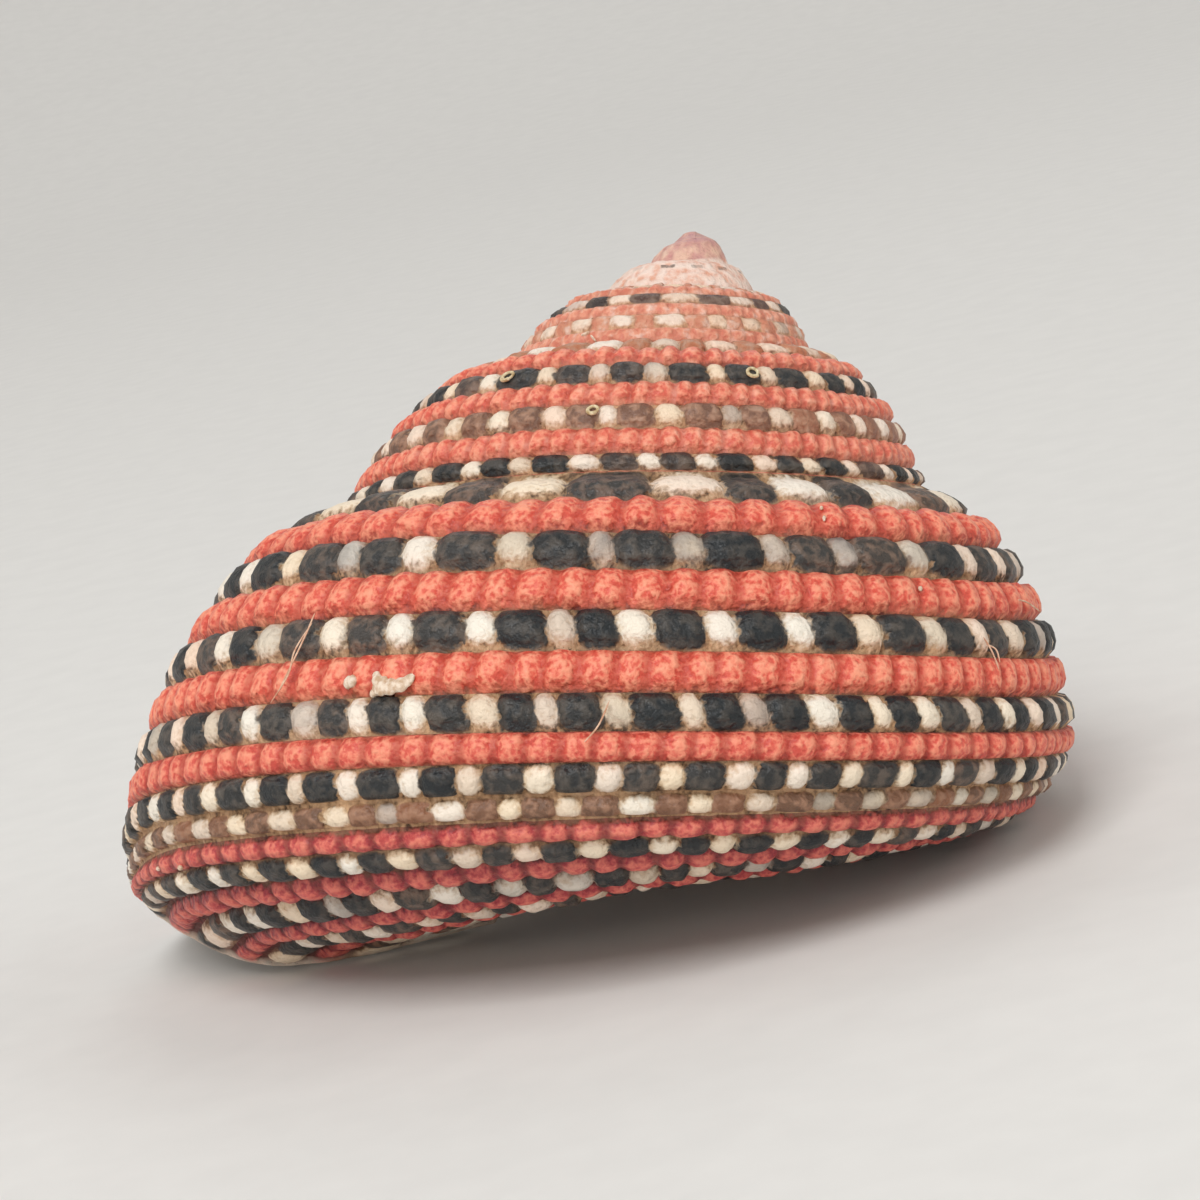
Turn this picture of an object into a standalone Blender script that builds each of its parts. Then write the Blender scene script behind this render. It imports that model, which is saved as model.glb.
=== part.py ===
"""Top shell of the strawberry kind: one grown, coiled shell that rests on its mouth.

A section curve, from the seam under the turn above down to the navel, is carried round the axis
while it grows and sinks. Each turn shares its upper edge with the turn before it, so the outside
is one skin. The tube the animal lived in opens at the lip and runs back inside the last turn.
Sizes named in millimetres are turned to metres by MM. A turn is counted along the coil: turn 0
faces the front, and turns grow towards the lip. A cord is a place down the section, counted in
the raised cords of the shell: 0 is the seam, 8 the widest cord and 20 the rim of the navel.
"""

import math

import bmesh
import bpy
import numpy as np
from mathutils import Matrix, Vector

MM = 0.001

# How the coil grows, per turn: the widening slows down over the last two turns
RADIAL_RATE = 0.6696
RADIAL_SLOWING = 0.0795
RADIAL_SLOWS_FROM = -1.74
AXIAL_RATE = 0.6737
AXIAL_SLOWING = 0.2668
AXIAL_SLOWS_FROM = -0.2255

# The section at turn 0: cord, distance from the axis (mm), distance below the start of the coil (mm)
SECTION = (
    (0, 6.60, 6.20),
    (1, 7.40, 6.48),
    (2, 8.32, 7.24),
    (4, 9.46, 8.94),
    (6, 10.32, 10.68),
    (8, 10.72, 12.42),
    (9, 10.50, 13.12),
    (10, 10.14, 13.70),
    (12, 9.22, 14.52),
    (14, 7.56, 15.08),
    (16, 6.00, 15.27),
    (18, 4.20, 15.06),
    (20, 2.20, 14.42),
)
SEAM_CORD = 7.6
WIDEST_CORD = 8.0
NAVEL_CORD = 20.0

# The shoulder rounds out as the shell grows, and the base spreads and sags near the lip
SHOULDER_CORD = 7.0
SHOULDER_GIRTH = 0.130
SHOULDER_DROP = 0.1121
YOUNGEST_SHOULDER = -1.5
BASE_SPREAD = (-0.094, 3.0)
BASE_SINK = (0.157, -0.695)
BASE_SAG_MM = 0.20
SAG_STARTS_TURN = 0.02
SAG_GROWS_TURNS = 0.25
SAG_CORD = 15.5
SAG_WIDTH_CORDS = 2.5

# The lower lip turns outwards just before its edge
LIP_FLARE_MM = 0.28
LIP_FLARE_TURNS = 0.045
LIP_FLARE_CORD = 15.5
LIP_FLARE_SPREAD = 0.35
LIP_FLARE_WIDTH_CORDS = 3.0

# The outer lip droops over its last stretch, and is what the shell stands on at the back
LIP_DROOP_MM = 1.60
LIP_DROOP_TURNS = 0.13
LIP_DROOP_CORD = 7.9
LIP_DROOP_WIDTH_CORDS = 2.4

# Where the lip ends, as cord and turn. It leans back: it reaches furthest round at the seam
LIP_LINE = (
    (0, 0.420),
    (2, 0.412),
    (5, 0.393),
    (8, 0.360),
    (11, 0.308),
    (13, 0.280),
    (15, 0.262),
    (17, 0.255),
    (20, 0.262),
)
LIP_TURN = LIP_LINE[0][1]
LIP_LEAN_TURNS = 0.5

# The tip is a low dome, and the first turn widens from it
FIRST_TURN = -5.0
TIP_HEIGHT_MM = 0.24
TIP_FADES_TURNS = 2.0
TIP_ROUNDNESS = 0.45

# The navel is a funnel: its wall runs from the rim to a ring, and its floor closes the ring
RING_CORD = 23.0
RING_RADIUS_MM = 1.05
RING_DROP_MM = 8.2
FLOOR_DROP_MM = 7.0
FUNNEL_FLARE = 0.7

# The hollow tube inside the last turn
LIP_THICKNESS_MM = 0.30
WALL_THICKNESS_MM = 0.85
GLAZE_THICKNESS_MM = 0.12
SEAM_FILL_MM = 0.90
NAVEL_FILL_MM = 0.50
WALL_THICKENS_TURNS = 0.06
TUBE_CLOSES_FROM = 0.50
TUBE_CLOSES_OVER = 0.20
TUBE_END_PINCH = 0.85
TUBE_DEPTHS = (0.0, 0.008, 0.025, 0.06, 0.10, 0.16, 0.22, 0.29, 0.36, 0.43, 0.50, 0.56, 0.61, 0.65)

# Facets: columns round each turn, and the cords where the rows of facets lie
COLUMNS_PER_TURN = 48
SPIRE_ROWS = (0.8, 1.8, 2.8, 3.8, 4.8, 5.8, 6.8, SEAM_CORD)
BASE_ROWS = (8.6, 9.6, 10.6, 11.8, 13.0, 14.5, 16.0, 17.5, 18.8, 19.7, 20.4, 21.2, 22.1, RING_CORD)

# How the shell stands: the upward direction, in the frame of the coil
REST_UP = Vector((-0.3053, -0.2625, 0.9154))


def smooth_step(x):
    """0 below 0, 1 above 1, and an S curve between."""
    x = np.clip(x, 0.0, 1.0)
    return x * x * (3.0 - 2.0 * x)


def curve_through(points, column, x):
    """A smooth curve through the given column of points against their first: cubic pieces whose
    slope at each point is the slope between its neighbours."""
    table = np.array(points, dtype=float)
    knots = table[:, 0]
    values = table[:, column]
    slopes = np.gradient(values, knots)
    x = np.clip(x, knots[0], knots[-1])
    piece = np.clip(np.searchsorted(knots, x, side="right") - 1, 0, len(knots) - 2)
    width = knots[piece + 1] - knots[piece]
    f = (x - knots[piece]) / width
    rise = values[piece + 1] - values[piece]
    start = slopes[piece] * width
    end = slopes[piece + 1] * width
    return values[piece] + f * (start + f * (3 * rise - 2 * start - end + f * (start + end - 2 * rise)))


def growth(turn, rate, slowing, slows_from):
    """Size against turn: steady growth by the same factor each turn, which slows from one turn on."""
    past = np.maximum(0.0, turn - slows_from) ** 2 - slows_from ** 2
    return np.exp(rate * turn - slowing * past)


def shell_point(turn, cord):
    """The outer surface in millimetres about the coil's axis, at a turn and a cord."""
    turn, cord = np.broadcast_arrays(np.asarray(turn, dtype=float), np.asarray(cord, dtype=float))
    on_section = np.minimum(cord, NAVEL_CORD)
    shoulder = np.maximum(0.0, SHOULDER_CORD - on_section) / (SHOULDER_CORD - 1)
    below = np.maximum(0.0, on_section - WIDEST_CORD) / WIDEST_CORD
    age = np.maximum(turn, YOUNGEST_SHOULDER)
    late = np.maximum(0.0, turn)
    spread = (BASE_SPREAD[0] * late + BASE_SPREAD[1] * late ** 2) * below
    sink = (BASE_SINK[0] * late + BASE_SINK[1] * late ** 2) * below
    radius = curve_through(SECTION, 1, on_section) * (1 + SHOULDER_GIRTH * age * shoulder + spread)
    drop = curve_through(SECTION, 2, on_section) * (1 + SHOULDER_DROP * age * shoulder + sink)
    radius = radius * growth(turn, RADIAL_RATE, RADIAL_SLOWING, RADIAL_SLOWS_FROM)
    drop = drop * growth(turn, AXIAL_RATE, AXIAL_SLOWING, AXIAL_SLOWS_FROM)
    sag = smooth_step((turn - SAG_STARTS_TURN) / SAG_GROWS_TURNS)
    drop = drop + BASE_SAG_MM * sag * np.exp(-((on_section - SAG_CORD) / SAG_WIDTH_CORDS) ** 2)
    to_lip = curve_through(LIP_LINE, 1, on_section) - turn
    flare = LIP_FLARE_MM * smooth_step(1 - to_lip / LIP_FLARE_TURNS)
    flare = flare * np.exp(-((on_section - LIP_FLARE_CORD) / LIP_FLARE_WIDTH_CORDS) ** 2)
    droop = LIP_DROOP_MM * smooth_step(1 - to_lip / LIP_DROOP_TURNS)
    droop = droop * np.exp(-((on_section - LIP_DROOP_CORD) / LIP_DROOP_WIDTH_CORDS) ** 2)
    drop = drop + flare + droop
    radius = radius + flare * LIP_FLARE_SPREAD

    age_of_tip = turn - FIRST_TURN
    from_tip = np.clip(age_of_tip, 0.0, 1.0) ** TIP_ROUNDNESS
    tip = TIP_HEIGHT_MM * np.exp(-np.maximum(0.0, age_of_tip) / TIP_FADES_TURNS)
    radius = radius * from_tip
    drop = drop * from_tip - tip

    down_funnel = np.clip((cord - NAVEL_CORD) / (RING_CORD - NAVEL_CORD), 0.0, 1.0)
    radius = radius + (RING_RADIUS_MM - radius) * down_funnel ** FUNNEL_FLARE
    drop = drop + (RING_DROP_MM - drop) * down_funnel

    angle = -2.0 * math.pi * turn
    return np.stack((radius * np.sin(angle), -radius * np.cos(angle), -drop), axis=-1)


def column_turn(column, cord):
    """The turn of a column of facets at a cord. Columns are straight along the coil, and lean
    with the lip over the half turn before it and, on the base, over the half turn that starts
    at the inner edge of the mouth."""
    lean = curve_through(LIP_LINE, 1, cord) - LIP_TURN
    near_lip = smooth_step((column - (LIP_TURN - LIP_LEAN_TURNS)) / LIP_LEAN_TURNS)
    near_mouth = smooth_step(((LIP_TURN - LIP_LEAN_TURNS) - column) / LIP_LEAN_TURNS)
    near_mouth = near_mouth * smooth_step((cord - SEAM_CORD) / SEAM_CORD)
    return column + lean * np.maximum(near_lip, near_mouth)


def mouth_section(depth):
    """The closed edge of the last turn's tube, a depth in turns behind the lip: down the outer
    wall from the seam to the navel ring, and back over the turn before it to the seam."""
    cords = np.array(SPIRE_ROWS + BASE_ROWS)
    wall = shell_point(column_turn(LIP_TURN, cords) - depth, cords)
    seam = shell_point(LIP_TURN - 1 - depth, SEAM_CORD)[None, :]
    back_cords = np.array(BASE_ROWS[-2::-1])
    back = shell_point(column_turn(LIP_TURN - 1, back_cords) - depth, back_cords)
    return np.concatenate((seam, wall, back))


def tube_ring(depth):
    """The hollow's edge at a depth: the section moved inwards by the thickness of the shell."""
    edge = mouth_section(depth)
    middle = edge.mean(axis=0)
    along = np.roll(edge, -1, axis=0) - np.roll(edge, 1, axis=0)
    along = along / np.linalg.norm(along, axis=1)[:, None]
    along = along + np.roll(along, 1, axis=0) + np.roll(along, -1, axis=0)
    spokes = edge - middle
    facing = np.cross(spokes, np.roll(spokes, -1, axis=0)).sum(axis=0)
    inward = np.cross(facing, along)
    inward = inward / np.linalg.norm(inward, axis=1)[:, None]

    grown = smooth_step(depth / WALL_THICKENS_TURNS)
    ring_place = len(SPIRE_ROWS) + len(BASE_ROWS)
    thickness = np.full(len(edge), GLAZE_THICKNESS_MM * grown)
    thickness[:ring_place] = LIP_THICKNESS_MM + (WALL_THICKNESS_MM - LIP_THICKNESS_MM) * grown
    thickness[0] = SEAM_FILL_MM * grown
    thickness[ring_place] = NAVEL_FILL_MM * grown
    ring = edge + inward * thickness[:, None]
    pinch = TUBE_END_PINCH * smooth_step((depth - TUBE_CLOSES_FROM) / TUBE_CLOSES_OVER)
    return ring + (middle - ring) * pinch


class Skin:
    """Corners and faces gathered for one mesh."""

    def __init__(self):
        self.points = []
        self.faces = []

    def point(self, place):
        self.points.append(tuple(float(v) * MM for v in place))
        return len(self.points) - 1

    def patch(self, *corners):
        """A face between the corners given, with a repeated corner counted once."""
        corners = list(dict.fromkeys(corners))
        if len(corners) > 2:
            self.faces.append(corners)


def outside(skin):
    """Adds the outer skin and returns the corner numbers by column and row."""
    columns = int(round((LIP_TURN - FIRST_TURN) * COLUMNS_PER_TURN))
    mouth_column = columns - COLUMNS_PER_TURN
    cords = SPIRE_ROWS + BASE_ROWS
    seam_row = len(SPIRE_ROWS)
    last_row = len(cords)
    tip = skin.point((0.0, 0.0, TIP_HEIGHT_MM))
    navel_floor = skin.point((0.0, 0.0, -FLOOR_DROP_MM))
    corner = {}
    for i in range(columns + 1):
        column = LIP_TURN - (columns - i) / COLUMNS_PER_TURN
        corner[i, 0] = corner[i - COLUMNS_PER_TURN, seam_row] if i >= COLUMNS_PER_TURN else tip
        rows = last_row if i >= mouth_column else seam_row
        for row in range(1, rows + 1):
            cord = cords[row - 1]
            if i == 0:
                corner[i, row] = tip
            elif i == columns and row == last_row:
                corner[i, row] = corner[mouth_column, last_row]
            else:
                corner[i, row] = skin.point(shell_point(column_turn(column, cord), cord))
    for i in range(columns):
        rows = last_row if i >= mouth_column else seam_row
        for row in range(rows):
            skin.patch(corner[i, row], corner[i, row + 1], corner[i + 1, row + 1], corner[i + 1, row])
        if i >= mouth_column:
            skin.patch(corner[i, last_row], navel_floor, corner[i + 1, last_row])
    return corner, columns, mouth_column


def inside(skin, corner, columns, mouth_column):
    """Adds the lip's edge, the hollow tube and its closed end."""
    seam_row = len(SPIRE_ROWS)
    last_row = seam_row + len(BASE_ROWS)
    ring = [corner[columns, row] for row in range(last_row + 1)]
    ring += [corner[mouth_column, row] for row in range(last_row - 1, seam_row, -1)]
    for depth in TUBE_DEPTHS:
        places = tube_ring(depth)
        inner = [skin.point(place) for place in places]
        if depth == 0.0:
            inner[0] = ring[0]
            inner[last_row:] = ring[last_row:]
        for k in range(len(ring)):
            after = (k + 1) % len(ring)
            skin.patch(ring[k], ring[after], inner[after], inner[k])
        ring = inner
    end = skin.point(places.mean(axis=0))
    for k in range(len(ring)):
        skin.patch(ring[k], ring[(k + 1) % len(ring)], end)


def shell_material():
    """Coral red shell with a soft natural gloss."""
    material = bpy.data.materials.new("coral_red_shell")
    material.use_nodes = True
    shader = material.node_tree.nodes["Principled BSDF"]
    shader.inputs["Base Color"].default_value = (0.72, 0.19, 0.13, 1.0)
    shader.inputs["Roughness"].default_value = 0.45
    shader.inputs["Metallic"].default_value = 0.0
    return material


def stand_on_mouth(mesh):
    """Turns the mesh so that the rest direction is up and turn 0 faces -Y, sets it on z = 0 and
    centres its box."""
    upright = REST_UP.normalized().rotation_difference(Vector((0.0, 0.0, 1.0))).to_matrix()
    front = upright @ Vector((0.0, -1.0, 0.0))
    to_front = Matrix.Rotation(-math.pi / 2 - math.atan2(front.y, front.x), 3, "Z")
    mesh.transform((to_front @ upright).to_4x4())
    corners = np.array([vertex.co for vertex in mesh.vertices])
    low = corners.min(axis=0)
    high = corners.max(axis=0)
    mesh.transform(Matrix.Translation((-(low[0] + high[0]) / 2, -(low[1] + high[1]) / 2, -low[2])))


def make_shell():
    """The whole shell as one object."""
    skin = Skin()
    corner, columns, mouth_column = outside(skin)
    inside(skin, corner, columns, mouth_column)
    mesh = bpy.data.meshes.new("shell")
    mesh.from_pydata(skin.points, [], skin.faces)
    tidy = bmesh.new()
    tidy.from_mesh(mesh)
    loose = [vertex for vertex in tidy.verts if not vertex.link_faces]
    bmesh.ops.delete(tidy, geom=loose, context="VERTS")
    bmesh.ops.recalc_face_normals(tidy, faces=tidy.faces)
    tidy.to_mesh(mesh)
    tidy.free()
    stand_on_mouth(mesh)
    mesh.shade_smooth()
    mesh.materials.append(shell_material())
    shell = bpy.data.objects.new("shell", mesh)
    bpy.context.collection.objects.link(shell)
    return shell


def main():
    for old in list(bpy.data.objects):
        bpy.data.objects.remove(old, do_unlink=True)
    make_shell()


main()
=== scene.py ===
"""Beaded top shell: the looks of one grown, coiled sea shell that rests on its mouth.

Run as a script, it builds the shell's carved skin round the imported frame, the small things dried on
to it, and a plain studio. Places on the shell are given as a turn and a cord: turn 0 faces the front
and turns grow towards the lip, and cords count the raised spiral cords from the seam (0) over the
widest one (8) to the rim of the navel (20).
"""

import math
from types import SimpleNamespace

import bpy
import numpy as np
from mathutils import Matrix, Vector


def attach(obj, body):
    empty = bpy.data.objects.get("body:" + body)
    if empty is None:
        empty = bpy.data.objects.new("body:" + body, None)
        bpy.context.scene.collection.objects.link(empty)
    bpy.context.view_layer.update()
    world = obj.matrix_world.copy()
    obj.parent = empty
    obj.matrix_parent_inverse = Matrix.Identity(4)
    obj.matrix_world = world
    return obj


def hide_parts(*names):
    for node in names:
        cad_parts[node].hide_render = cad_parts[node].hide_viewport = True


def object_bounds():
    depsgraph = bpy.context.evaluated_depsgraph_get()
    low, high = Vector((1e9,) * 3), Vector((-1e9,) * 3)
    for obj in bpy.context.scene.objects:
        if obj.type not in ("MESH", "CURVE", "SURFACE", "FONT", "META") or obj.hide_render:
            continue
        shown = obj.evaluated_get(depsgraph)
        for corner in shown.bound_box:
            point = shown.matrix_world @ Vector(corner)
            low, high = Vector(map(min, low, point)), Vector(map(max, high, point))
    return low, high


bl_info = {
    "name": "Beaded Top Shell",
    "version": (1, 0, 0),
    "blender": (4, 5, 0),
    "location": "View3D > Sidebar > Top Shell",
    "description": "Builds a beaded top shell with its studio",
    "category": "Add Mesh",
}

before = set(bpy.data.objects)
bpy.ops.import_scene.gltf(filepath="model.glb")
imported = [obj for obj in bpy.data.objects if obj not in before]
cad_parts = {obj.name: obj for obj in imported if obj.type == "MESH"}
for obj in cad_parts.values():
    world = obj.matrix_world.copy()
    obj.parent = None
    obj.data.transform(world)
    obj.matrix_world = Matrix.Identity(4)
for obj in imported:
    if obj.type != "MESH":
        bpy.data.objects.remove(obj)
CAD_LOW, CAD_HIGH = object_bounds()

BODY = "root"
NODE = "shell"
# The carved skin is one closed surface in two pieces, as a piece may have at most 200,000 facets
OLDER_TURNS = "shell_older_turns"
LAST_TURN = "shell_last_turn"
OUTER_SLOT = 0
INNER_SLOT = 1
BEAD_MAP = "bead_uv"
CORD_ATTRIBUTE = "cord_kind"
MM = 0.001

# ---------------------------------------------------------------- the form, as the frame has it

# How the coil grows, per turn. Its widening slows down over about two turns, its lengthening over less
RADIAL_RATE = 0.6696
RADIAL_SLOWING = 0.0795
RADIAL_SLOWS_FROM = -1.74
AXIAL_RATE = 0.6737
AXIAL_SLOWING = 0.2668
AXIAL_SLOWS_FROM = -0.2255

# The section at turn 0: cord, distance from the axis (mm), distance below the start of the coil (mm)
SECTION = (
    (0, 6.60, 6.20),
    (1, 7.40, 6.48),
    (2, 8.32, 7.24),
    (4, 9.46, 8.94),
    (6, 10.32, 10.68),
    (8, 10.72, 12.42),
    (9, 10.50, 13.12),
    (10, 10.14, 13.70),
    (12, 9.22, 14.52),
    (14, 7.56, 15.08),
    (16, 6.00, 15.27),
    (18, 4.20, 15.06),
    (20, 2.20, 14.42),
)
SEAM_CORD = 7.6
WIDEST_CORD = 8.0
NAVEL_CORD = 20.0

# The shoulder rounds out as the shell grows, and the base spreads and sags near the lip
SHOULDER_CORD = 7.0
SHOULDER_GIRTH = 0.130
SHOULDER_DROP = 0.1121
YOUNGEST_SHOULDER = -1.5
BASE_SPREAD = (-0.094, 3.0)
BASE_SINK = (0.157, -0.695)
BASE_SAG_MM = 0.20
SAG_STARTS_TURN = 0.02
SAG_GROWS_TURNS = 0.25
SAG_CORD = 15.5
SAG_WIDTH_CORDS = 2.5

# The lower lip turns outwards just before its edge
LIP_FLARE_MM = 0.28
LIP_FLARE_TURNS = 0.045
LIP_FLARE_CORD = 15.5
LIP_FLARE_SPREAD = 0.35
LIP_FLARE_WIDTH_CORDS = 3.0

# The outer lip droops over its last stretch, and is what the shell stands on at the back
LIP_DROOP_MM = 1.60
LIP_DROOP_TURNS = 0.13
LIP_DROOP_CORD = 7.9
LIP_DROOP_WIDTH_CORDS = 2.4

# Where the lip ends, as cord and turn. It leans back: it reaches furthest round at the seam
LIP_LINE = (
    (0, 0.420),
    (2, 0.412),
    (5, 0.393),
    (8, 0.360),
    (11, 0.308),
    (13, 0.280),
    (15, 0.262),
    (17, 0.255),
    (20, 0.262),
)
LIP_TURN = LIP_LINE[0][1]
LIP_LEAN_TURNS = 0.5

# The tip is a low dome, and the first turn widens from it
FIRST_TURN = -5.0
TIP_HEIGHT_MM = 0.24
TIP_FADES_TURNS = 2.0
TIP_ROUNDNESS = 0.45
# Its skin is worn to a smooth dome, this sharply curved at the top, which fades into the turns
DOME_RADIUS_MM = 0.55
DOME_TOP_MM = 0.205
DOME_TURNS = 0.86
DOME_FADES_TURNS = 0.70

# The navel is a funnel: its wall runs from the rim to a ring, and its floor closes the ring
RING_CORD = 23.0
RING_RADIUS_MM = 1.05
RING_DROP_MM = 8.2
FLOOR_DROP_MM = 7.0
FUNNEL_FLARE = 0.7

# How the shell stands: the upward direction, in the frame of the coil
REST_UP = Vector((-0.3053, -0.2625, 0.9154))

# Where the frame's facets have their corners, which places the coil in the frame's box
FRAME_COLUMNS_PER_TURN = 48
FRAME_SPIRE_CORDS = (0.8, 1.8, 2.8, 3.8, 4.8, 5.8, 6.8, SEAM_CORD)
FRAME_BASE_CORDS = (8.6, 9.6, 10.6, 11.8, 13.0, 14.5, 16.0, 17.5, 18.8, 19.7, 20.4, 21.2, 22.1, RING_CORD)

# ---------------------------------------------------------------- the carved skin

COLUMNS_PER_TURN = 720
# Rows of facets over one cord: the top is rounded, and its groove has a sharp bottom
CORD_ROWS = (-0.38, -0.2, 0.0, 0.2, 0.38, 0.5)
SEAM_ROWS = (0.25, 0.5)
LAST_SPIRE_ROWS = (6.62, 6.8, 7.0, 7.25, 7.5, SEAM_CORD)
FIRST_BASE_ROWS = (7.8, 8.0, 8.2, 8.38, 8.5)
RIM_ROW = 19.75
NAVEL_ROWS = (20.0, 20.25, 20.55, 20.9, 21.3, 21.7, 22.1, 22.55, RING_CORD)
# The older turns are small and need fewer rows: every second one before the first of these turns, and
# every fourth one before the other
EVERY_SECOND_BEFORE = -1.65
EVERY_FOURTH_BEFORE = -2.70
# Tops of the beads lie this far inside the frame's surface, so that no facet leaves its box
CLEARANCE_MM = 0.03
# Away from the widest cord and the lip they stand proud of it instead, well inside the box
SHOULDER_LIFT_MM = 0.17
BASE_LIFT_MM = 0.09
LIFT_ENDS_MM = 4.0
# Where each swell starts and ends, and over how much it does so: in cords, then in turns
SHOULDER_LIFT_RISES = (0.6, 1.6)
SHOULDER_LIFT_FALLS = (6.9, 3.0)
BASE_LIFT_RISES = (9.8, 2.0)
BASE_LIFT_FALLS = (18.6, 2.0)
LIFT_GROWS = (-3.5, 2.0)
LIFT_STARTS = (-4.6, 0.8)
EARLY_LIFT_SHARE = 0.35
# The beads are lumpy. White and dark ones touch before their height has run out, and a red cord
# dips between its beads by this share. The lumps are measured from a high level, so most lie under it
LUMP_MM = 0.018
LUMP_LEVEL = 0.6
LUMPS_START = (-4.2, 1.0)
# The lumps' three sines: waves along one axis, how much and with which waves and shift the next axis
# bends them. Then the shares of their three products
LUMP_WAVES = ((9.7, 1.9, 6.1, 2.0), (11.3, 1.7, 7.3, 0.7), (10.1, 1.8, 5.9, 4.1))
LUMP_SHARES = (0.6, 0.4, 0.3)
PAIR_FULLNESS = 0.90
RED_DIP = 0.38
RED_SCALLOP = 0.08
RED_SEAM_POWER = 4.0
WHITE_POWER = 2.6
DARK_POWER = 3.8
RED_POWER = 3.0
BEAD_ROUNDNESS = 0.55
# White and dark beads of the spire lean with the growth lines: one end lies this much further round
BEAD_LEAN_TURNS = 0.0040
# White beads are longer on the oldest turns by this share of a pair
OLDER_WHITE_SHARE = 0.16
OLDER_WHITE_FALLS = (-1.2, 0.7)
# A white bead's least share of its usual width, and what chance adds to it
WHITE_LEAST = 0.84
WHITE_SPREAD = 0.32
# Two waves make the places of the beads uneven, by this share of a bead: waves in a turn or for a
# bead, and the shift from cord to cord
PLACE_UNEVEN = 0.05
SLOW_WAVE = (5.3, 0.37)
QUICK_WAVE = (2.33, 1.7)
# Tops are lower from bead to bead by up to this share
TOP_UNEVEN = 0.25
# Grey stains: where chance starts to stain a bead, and the greatest stain by chance. On one cord the
# beads at the front are all stained, by at least a share and more by chance
STAIN_CHANCE = (0.72, 0.28)
STAIN_MOST = 0.7
STAINED_CORD = 3
STAIN_RISES = (-0.16, 0.06)
STAIN_FALLS = (0.09, 0.06)
STAIN_LEAST = 0.55
STAIN_SPREAD = 0.45
# Fine growth lines cross the cords: their depth, how many there are in a turn, and how far and how
# often they crowd together
GROWTH_LINE_MM = 0.015
GROWTH_LINES = 61.0
GROWTH_CROWDS = (3.0, 17.0)

RED, PAIR = 1.0, 0.0
# Each cord: red beads, or white and dark ones in pairs; how many beads or pairs there are in a turn
# round turn 0, -1 and -2; where a white bead falls at turn 0; the white bead's share of a pair; how
# dark the other one is round turn 0, -1 and -2 (0 tawny, 0.3 olive brown, 1 black); groove depth;
# girth, where 1 fills the whole space to the next cords
CORDS = (
    (1, PAIR, (16.31, 18.49, 18.0), 0.00, 0.54, (0.72, 0.0, 0.0), 0.36, 1.00),
    (2, RED, (62.0, 62.0, 50.0), 0.20, 0.5, (1.0, 1.0, 1.0), 0.38, 1.00),
    (3, PAIR, (30.15, 25.15, 12.23), -5.82, 0.36, (1.0, 0.95, 0.8), 0.40, 0.94),
    (4, RED, (79.0, 78.0, 60.0), 0.40, 0.5, (1.0, 1.0, 1.0), 0.38, 1.00),
    (5, PAIR, (36.48, 29.34, 19.12), -7.29, 0.41, (1.0, 0.30, 0.0), 0.40, 0.94),
    (6, RED, (91.0, 82.0, 62.0), 0.10, 0.5, (1.0, 1.0, 1.0), 0.38, 1.00),
    (7, PAIR, (46.58, 31.42, 22.0), -9.53, 0.41, (1.0, 0.95, 0.1), 0.40, 0.94),
    (8, RED, (97.0, 88.0, 70.0), 0.70, 0.5, (1.0, 1.0, 1.0), 0.36, 1.00),
    (9, PAIR, (48.59, 46.0, 40.0), -9.68, 0.40, (1.0, 1.0, 1.0), 0.38, 1.00),
    (10, PAIR, (48.46, 46.0, 40.0), -9.14, 0.44, (0.26, 0.3, 0.3), 0.36, 0.74),
    (11, RED, (88.0, 84.0, 70.0), 0.30, 0.5, (1.0, 1.0, 1.0), 0.34, 0.80),
    (12, PAIR, (44.19, 42.0, 38.0), -10.73, 0.46, (1.0, 1.0, 1.0), 0.38, 0.94),
    (13, RED, (80.0, 76.0, 70.0), 0.00, 0.5, (1.0, 1.0, 1.0), 0.35, 0.64),
    (14, PAIR, (36.0, 36.0, 34.0), -4.00, 0.48, (0.95, 1.0, 1.0), 0.38, 0.92),
    (15, RED, (66.0, 64.0, 60.0), 0.50, 0.5, (1.0, 1.0, 1.0), 0.34, 0.62),
    (16, PAIR, (32.0, 32.0, 30.0), -3.78, 0.48, (0.90, 1.0, 1.0), 0.36, 0.92),
    (17, RED, (50.0, 50.0, 48.0), 0.20, 0.5, (1.0, 1.0, 1.0), 0.33, 0.66),
    (18, PAIR, (27.0, 27.0, 26.0), 0.30, 0.55, (0.55, 0.6, 0.6), 0.32, 0.90),
    (19, PAIR, (22.0, 22.0, 22.0), 0.60, 0.70, (0.15, 0.2, 0.2), 0.38, 1.00),
)
LAST_CORD = CORDS[-1][0]
# Counts and tones ease from one turn to the next over this stretch behind the shell
EASE_STARTS_TURN = 0.3
EASE_TURNS = 0.4
# Some dark beads have faded by up to this share
FADED_SHARE = 0.45

# The carving fades out on the worn first turns and just before the lip
WORN_BEFORE = -2.80
WORN_OVER_TURNS = 1.40
WORN_RELIEF = 0.10
LIP_SMOOTH_MM = 0.38
LIP_BARE_SHARE = 0.2
LIP_ROUNDING_MM = 0.10
# Near the lip, where the wall is thin, the grooves keep only this share of their depth
LIP_GROOVE_SHARE = 0.40
GROOVES_DEEPEN_MM = 2.6
# The carving is all but gone down the navel: by how much, and where
NAVEL_SMOOTH_SHARE = 0.8
NAVEL_SMOOTHS = (0.2, 0.5)
# The grooves deepen with the spacing of the cords, up to this spacing
WIDEST_SPACING_MM = 1.0
LIP_RADIUS_MM = 8.0
FAR_FROM_LIP_MM = 50.0

# Where the lip stands on the floor it is worn flat at this height
WORN_FLAT_MM = 0.01

# ---------------------------------------------------------------- the hollow

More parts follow.
